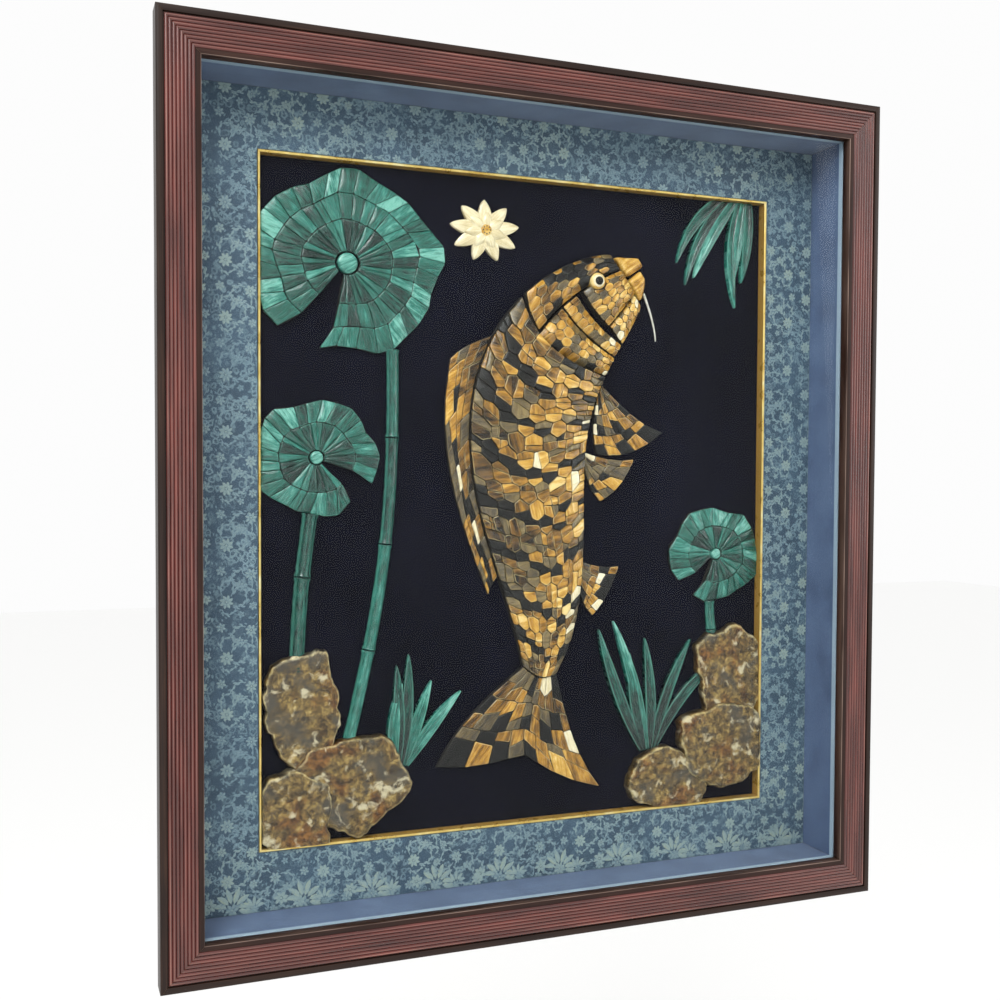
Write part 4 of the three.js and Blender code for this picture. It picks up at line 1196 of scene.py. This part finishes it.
# Root of the fin, direction, reach, courses, stones across, height at the edge and at the root.
FINS = {
    "tail_fin": (lambda k: on_carp(root_line(1 - 2 * k) + 0.0015, 1 - 2 * k),
                 lambda k: TAIL_WAY + 1.02 * (k - 0.5) * 1.15 - 0.06,
                 lambda k: 96 + 62 * abs(2 * k - 1) ** 1.4, 3, 8, 5, 9),
    "dorsal_fin": (lambda k: on_carp(lerp(0.32, 0.76, k), 1, 0.9),
                   lambda k: swept(lerp(0.32, 0.76, k), 1, 0.52),
                   lambda k: lerp(58, 24, k ** 0.7), 2, 10, 4.5, 7),
    "pectoral_fin": (lambda k: on_carp(lerp(0.262, 0.31, k), -1, 1.2),
                     lambda k: swept(0.28, -1, lerp(0.1, 0.72, k)),
                     lambda k: 104 - 34 * k, 3, 5, 4.5, 8),
    "pelvic_fin": (lambda k: on_carp(lerp(0.52, 0.56, k), -1, 1.2),
                   lambda k: swept(0.54, -1, lerp(0.2, 0.8, k)),
                   lambda k: 70 - 22 * k, 2, 4, 4.5, 7),
    "anal_fin": (lambda k: on_carp(lerp(0.76, 0.82, k), -1, 1.2),
                 lambda k: swept(0.8, -1, lerp(0.25, 0.8, k)),
                 lambda k: 52 - 18 * k, 2, 4, 4.5, 7),
}


def build_fins():
    for number, (name, fin) in enumerate(FINS.items()):
        root, way, reach, rows, cols, low, high = fin

        def angle(r, c):
            return way(c / cols) + 0.16 * (r / rows) ** 2

        def place(r, c):
            k = c / cols
            return off(root(k), reach(k) * r / rows, angle(r, c))

        def lift(r, c):
            return lerp(high, low, r / rows) + 1.2 * math.sin(math.pi * c / cols)

        def pick(r, c, at, seed):
            fibre = angle(r, c)
            kind = chance(seed + number, 3.3)
            if (1.35 * r + 0.5 * math.sin(3 * c) + number) % 2.0 < 0.42:
                return 0.3, fibre, BLACK
            if kind > 0.94:
                return 0.6, fibre, CREAM
            if kind > 0.7:
                return 0.45, fibre, SMOKY
            return 0.2 + 0.5 * r / rows + 0.4 * (chance(seed, 5) - 0.5), fibre, GOLDEN

        piece = Piece()
        stones = courses(rows, cols, jitter=0.1)
        lay(piece, stones, place, lift, pick, lambda *_: "r", deep=3.0, bevel=0.7)
        bed(piece, rows, cols, place, lift, CEMENTED)
        piece.make(f"{name}_stones", [f"carp_{name}"], STONES)


def build_barbel():
    start = on_carp(0.012, -0.98, 3.4)
    _, along, out = spine_frame(0.02)

    def curl(k):
        return [start[i] - out[i] * 58 * k + along[i] * 20 * k * k - (29 * k * (1 - k) if i else 0)
                for i in (0, 1)]

    piece = Piece()
    bent_rod(piece, curl, lambda k: 1.4 * lerp(1, 0.45, k), lambda k: 2.8 * lerp(1, 0.6, k),
             [i / 24 for i in range(25)], 1.5)
    piece.make("carp_barbel_wire", ["carp_barbel"], [WIRE])


# ---- plants -------------------------------------------------------------------------------
# Name, middle, radius, courses, stones round, direction of the notch, seed.
LEAVES = [("leaf_large", (-226, 272), 112, 3, 15, -2.1, 0.4),
          ("leaf_middle", (-262, 52), 72, 2, 12, -0.7, 2.1),
          ("leaf_small", (262, -66), 66, 2, 11, -2.3, 4.0)]
LEAF_SQUASH = 0.9  # how tall a leaf is for its width


def on_leaf(leaf, angle, k):
    _, at, radius, _, _, _, seed = leaf
    wave = 1 + 0.05 * math.sin(5 * angle + seed) + 0.03 * math.sin(9 * angle)
    reach = lerp(0.13, 1, k ** 0.85) * radius * lerp(1, wave, k)
    swirl = angle + 0.1 * math.sin(math.pi * k)
    return at[0] + reach * math.cos(swirl), at[1] + LEAF_SQUASH * reach * math.sin(swirl)


def in_leaf(leaf, u, v, k=1.0):
    at = leaf[1]
    angle = math.atan2((v - at[1]) / LEAF_SQUASH, u - at[0])
    edge = on_leaf(leaf, angle, k)
    return math.hypot(u - at[0], v - at[1]) < math.hypot(edge[0] - at[0], edge[1] - at[1])


def build_leaves():
    for leaf in LEAVES:
        name, at, radius, rows, cols, notch, _ = leaf

        def place(r, c):
            angle = notch + 0.24 + (2 * math.pi - 0.48) * c / cols
            return on_leaf(leaf, angle, r / rows)

        def lift(r, c):
            return (5 + 4 * math.sin(math.pi * min(1, max(0, r / rows) + 0.15))
                    + 0.8 * math.sin(4 * c))

        def pick(r, c, where, seed):
            fibre = math.atan2(where[1] - at[1], where[0] - at[0])
            tone = 0.25 + 0.35 * r / rows + 0.6 * (chance(seed, 5) - 0.5)
            return tone + 0.15 * (int(c) % 2), fibre, 0

        piece = Piece()
        stones = courses(rows, cols, jitter=0.04, stagger=0)
        lay(piece, stones, place, lift, pick, lambda *_: "c", deep=3.0, bevel=0.7, dome=1.0)
        bed(piece, rows, cols, place, lift, 1)
        piece.make(f"{name}_stones", [name], [GREEN, CEMENT])
        piece = Piece()
        cabochon(piece, circle(at, radius * 0.105, 32), 6, 9, radius, 0.85, 0.5)
        piece.make(f"{name}_boss", [f"{name}_heart"], [GREEN, CEMENT])


# Name, foot, head, bend, half width, lengths of stone.
STALKS = [("stalk_left", (-284, -290), (-264, 20), 8, 9.0, 3),
          ("stalk_middle", (-228, -290), (-172, 200), -20, 7.5, 4),
          ("stalk_right", (274, -236), (256, -90), 6, 6.5, 2)]


def build_stalks():
    for number, (name, foot, head, bend, half, joints) in enumerate(STALKS):
        length = math.dist(foot, head)
        side = right_of(foot, head)

        def path(k):
            bow = bend * math.sin(math.pi * k)
            return [lerp(foot[i], head[i], k) - side[i] * bow for i in (0, 1)]

        upper = [k / 200 for k in range(81, 201)]
        under = [k for k in upper if any(in_leaf(leaf, *path(k)) for leaf in LEAVES)]
        last = min(under or [1.0])
        piece = Piece()
        for joint in range(joints):
            start, end = joint / joints, min((joint + 1) / joints, last)
            gap = 0.7 / length
            flare = 5.5 / length
            stations = [start + gap, start + 2.2 * gap, start + flare, start + 2.2 * flare]
            stations += [lerp(start + 3 * flare, end - 3 * flare, i / 8) for i in range(9)]
            stations += [end - 2.2 * flare, end - flare, end - 2.2 * gap, end - gap]

            def girth(k):
                near = min(k - start, end - k) / flare
                swell = 0.2 * max(0.0, 1 - near) ** 0.6 - 0.16 * max(0.0, 1 - near * 3.2)
                return half * (0.96 + swell)

            bent_rod(piece, path, girth, lambda k: girth(k) * 1.08, stations, number + joint * 7.3,
                     0.3 + 0.4 * chance(number, joint))
        piece.make(f"{name}_rods", [name], [GREEN])


# Name, foot, lowest and highest direction, leaves, reach.
TUFTS = [("reed_tuft_right", (166, -312), 1.2, 2.02, 6, 176),
         ("reed_tuft_left", (-162, -306), 1.05, 1.75, 5, 132),
         ("willow_spray", (296, 396), -2.75, -1.5, 6, 150)]


def build_tufts():
    section = [(1, 0.0), (1, 0.75), (0.9, 0.92), (0.55, 0.97), (0.14, 1.0), (0, 0.9), (-0.14, 1.0),
               (-0.55, 0.97), (-0.9, 0.92), (-1, 0.75), (-1, 0.0)]
    for tuft, (name, foot, low, high, count, reach) in enumerate(TUFTS):
        seed = tuft + 3
        piece = Piece()
        for i in range(count):
            angle = lerp(low, high, i / (count - 1)) + 0.12 * (chance(i, seed) - 0.5)
            length = reach * lerp(0.7, 1, chance(seed, i))
            droop = 0.55 * (chance(i + 9, seed) - 0.5) - 0.25 * math.cos(angle)
            aside = 3.7 * ((count - 1) / 2 - i) * math.copysign(1, math.sin(angle))
            start = foot[0] + aside, foot[1]

            def path(k):
                return off(start, length * k, angle + droop * k)

            def half(k):
                return 0.7 + 7 * math.sin(math.pi * min(1, max(0, 0.1 + 0.9 * k))) ** 0.8

            def top(k):
                return lerp(3 + 0.35 * i, 5.5 + 0.6 * i, min(1, half(k) / half(0.5)))

            bent_rod(piece, path, half, top, [k / 18 for k in range(19)], seed + i * 1.9,
                     0.15 + 0.6 * chance(i, seed + 2), 0, section, 0.6)
        piece.make(f"{name}_blades", [name], [GREEN], 30)


def build_blossom():
    at = (-58, 322)
    piece = Piece()
    section = [(1, 0.0), (0.97, 0.7), (0.6, 0.9), (0, 1.0), (-0.6, 0.9), (-0.97, 0.7), (-1, 0.0)]
    for ring, (count, length, half, turn, inner, base) in enumerate(
            ((9, 44, 8.2, 0.2, 5.6, 0.0), (7, 27, 6.0, 0.6, 6.2, 2.6))):
        for i in range(count):
            angle = turn + 2 * math.pi * i / count

            def path(k):
                reach = lerp(inner, length, k)
                return at[0] + reach * math.cos(angle), at[1] + reach * math.sin(angle) * 0.82

            def petal(k):
                return 0.6 + half * math.sin(math.pi * min(1, max(0, 0.28 + 0.72 * k))) ** 0.7

            def top(k):
                return base + lerp(3.4, 6.5, math.sin(math.pi * min(1, 0.2 + 0.8 * max(0, k))))

            bent_rod(piece, path, petal, top, [k / 14 for k in range(15)], ring * 20 + i, 0.5, 0,
                     section)
    piece.make("blossom_petal_stones", ["blossom_petals"], [SHELL], 50)
    piece = Piece()
    cabochon(piece, circle(at, 6.8, 32), 7, 9.4, 4.4, 0.9, 0.3, GOLDEN)
    for i in range(9):
        seat = circle(at, 4.4 if i else 0, 8)[i - 1]
        cabochon(piece, circle(seat, 1.0, 10), 8.4, 10.0, i, 0.2, 0, SMOKY, 3)
    piece.make("blossom_pod_stone", ["blossom_pod"], STONES)


# ---- rocks --------------------------------------------------------------------------------
# Name, middle, half sizes, height at the edge and on the flat.
ROCKS = [("rock_left_back", (-276, -228), (58, 80), 8, 11),
         ("rock_left_middle", (-224, -320), (72, 62), 10, 14),
         ("rock_left_front", (-294, -348), (56, 54), 12, 17),
         ("rock_right_back", (284, -222), (56, 74), 8, 11),
         ("rock_right_low", (190, -354), (68, 42), 9, 13),
         ("rock_right_middle", (272, -318), (70, 66), 11, 16)]


def rock_rim(at, size, seed, fine=16):
    """The slab's eight corners worn round, with broken sides between them."""
    corners = []
    for i in range(8):
        angle = 2 * math.pi * (i + 0.8 * (chance(i, seed) - 0.5)) / 8
        reach = lerp(0.8, 1.14, chance(seed, i))
        corners.append((at[0] + size[0] * reach * math.cos(angle),
                        at[1] + size[1] * reach * math.sin(angle)))
    rim = []
    for i, (a, b) in enumerate(zip(corners, corners[1:] + corners[:1])):
        out = right_of(a, b)
        for j in range(fine):
            k = j / fine
            bow = 0.03 * math.dist(a, b) * math.sin(math.pi * k)
            rim.append((lerp(a[0], b[0], k) + out[0] * bow, lerp(a[1], b[1], k) + out[1] * bow))
    for _ in range(3):
        rim = [((2 * b[0] + a[0] + c[0]) / 4, (2 * b[1] + a[1] + c[1]) / 4)
               for a, b, c in zip(rim[-1:] + rim, rim, rim[1:] + rim[:1])]
    chipped = []
    for i, (u, v) in enumerate(rim):
        reach = math.hypot(u - at[0], v - at[1])
        chip = 5.0 * (drift(u, v, 16, seed + 40) - 0.6) + 2.4 * (drift(u, v, 6, seed + 50) - 0.6)
        chip += 1.2 * (chance(i * 3.7, seed) - 0.5)
        chipped.append((u + (u - at[0]) * chip / reach, v + (v - at[1]) * chip / reach))
    return chipped


def build_rocks():
    for seed, (name, at, size, edge, crown) in enumerate(ROCKS):
        rim = rock_rim(at, size, seed)
        piece = Piece()
        mu, mv = middle(rim)

        def level(k, w, rough, painted_light):
            ring = []
            for i, (u, v) in enumerate(rim):
                x, y = mu + (u - mu) * k, mv + (v - mv) * k
                lift = w + rough * (drift(x, y, 13, seed) + 0.5 * drift(x, y, 5, seed + 1) - 0.75)
                if 0.85 < k < 0.99:
                    lift += 0.8 * (chance(i // 2, seed + k) - 0.5)
                x, y = held(x, y)
                grain = (x + 400 * seed, y, lift)
                ring.append(piece.point(x, y, BED + max(0.0, lift), grain, 0.5, painted_light))
            return ring

        # The foot and lower side are darkened as painted shade (below 0) and the rounded rim is
        # paled as a painted highlight (above 0).
        rings = [level(1, 0, 0, -1.0), level(1, edge * 0.8, 0, -0.9), level(0.988, edge, 0, -0.4),
                 level(0.972, lerp(edge, crown, 0.62), 0.2, 1.0),
                 level(0.945, lerp(edge, crown, 0.85), 0.6, 0.6),
                 level(0.91, lerp(edge, crown, 0.95), 1.0, 0.1), level(0.86, crown, 1.4, 0.0),
                 level(0.75, crown, 1.8, 0.0), level(0.58, crown, 1.6, 0.0),
                 level(0.4, crown, 1.2, 0.0), level(0.2, crown, 1.0, 0.0)]
        piece.stack(rings, piece.point(*held(mu, mv), BED + crown, (mu + 400 * seed, mv, crown)))
        piece.make(f"{name}_slab", [name], [ROCK], 50)


# ---- studio -------------------------------------------------------------------------------
def build_studio():
    """A plain pale floor 0.9 m below the hanging panel, soft lights, and the camera."""
    floor_z = -PANEL_H / 2000 - 0.9
    mesh = bpy.data.meshes.new("studio_floor")
    size = 12.0
    mesh.from_pydata([(-size, -size, floor_z), (size, -size, floor_z), (size, size, floor_z),
                      (-size, size, floor_z)], [], [(0, 1, 2, 3)])
    floor = bpy.data.objects.new("studio_floor", mesh)
    bpy.context.scene.collection.objects.link(floor)
    paper = Finish("studio_paper", Roughness=0.9, Base_Color=linear("#FBFBFA"))
    mesh.materials.append(paper.material)

    # The finishes are matched in plain sRGB.
    bpy.context.scene.view_settings.view_transform = "Standard"
    world = bpy.data.worlds.new("studio")
    world.use_nodes = True
    backdrop = next(n for n in world.node_tree.nodes if n.type == "BACKGROUND")
    backdrop.inputs["Color"].default_value = linear("#FFFFFF")
    backdrop.inputs["Strength"].default_value = 0.98
    bpy.context.scene.world = world

    for name, place, size, power in (
            ("key_softbox", (-1.2, -1.9, 1.9), 1.5, 42),
            ("fill_softbox", (2.4, -1.6, 0.5), 1.4, 14),
            ("low_softbox", (-0.6, -2.2, -0.4), 0.8, 2.5)):
        light = bpy.data.lights.new(name, "AREA")
        light.size, light.energy = size, power
        lamp = bpy.data.objects.new(name, light)
        lamp.location = place
        lamp.rotation_mode = "QUATERNION"
        aim = mathutils.Vector((0, 0, 0)) - lamp.location
        lamp.rotation_quaternion = aim.to_track_quat("-Z", "Y")
        bpy.context.scene.collection.objects.link(lamp)

    camera = bpy.data.objects.new("camera", bpy.data.cameras.new("camera"))
    camera.location = (-0.5631, -1.2869, 0.025)
    camera.rotation_euler = [math.radians(a) for a in (88.108, -0.191, -20.46)]
    camera.data.lens, camera.data.sensor_width = 41.35, 36.0
    camera.data.shift_x, camera.data.shift_y = 0.0401, 0.0201
    bpy.context.scene.collection.objects.link(camera)
    bpy.context.scene.camera = camera


build_box()
build_brocade()
build_carp_body()
build_head()
build_fins()
build_barbel()
build_leaves()
build_stalks()
build_tufts()
build_blossom()
build_rocks()
build_studio()
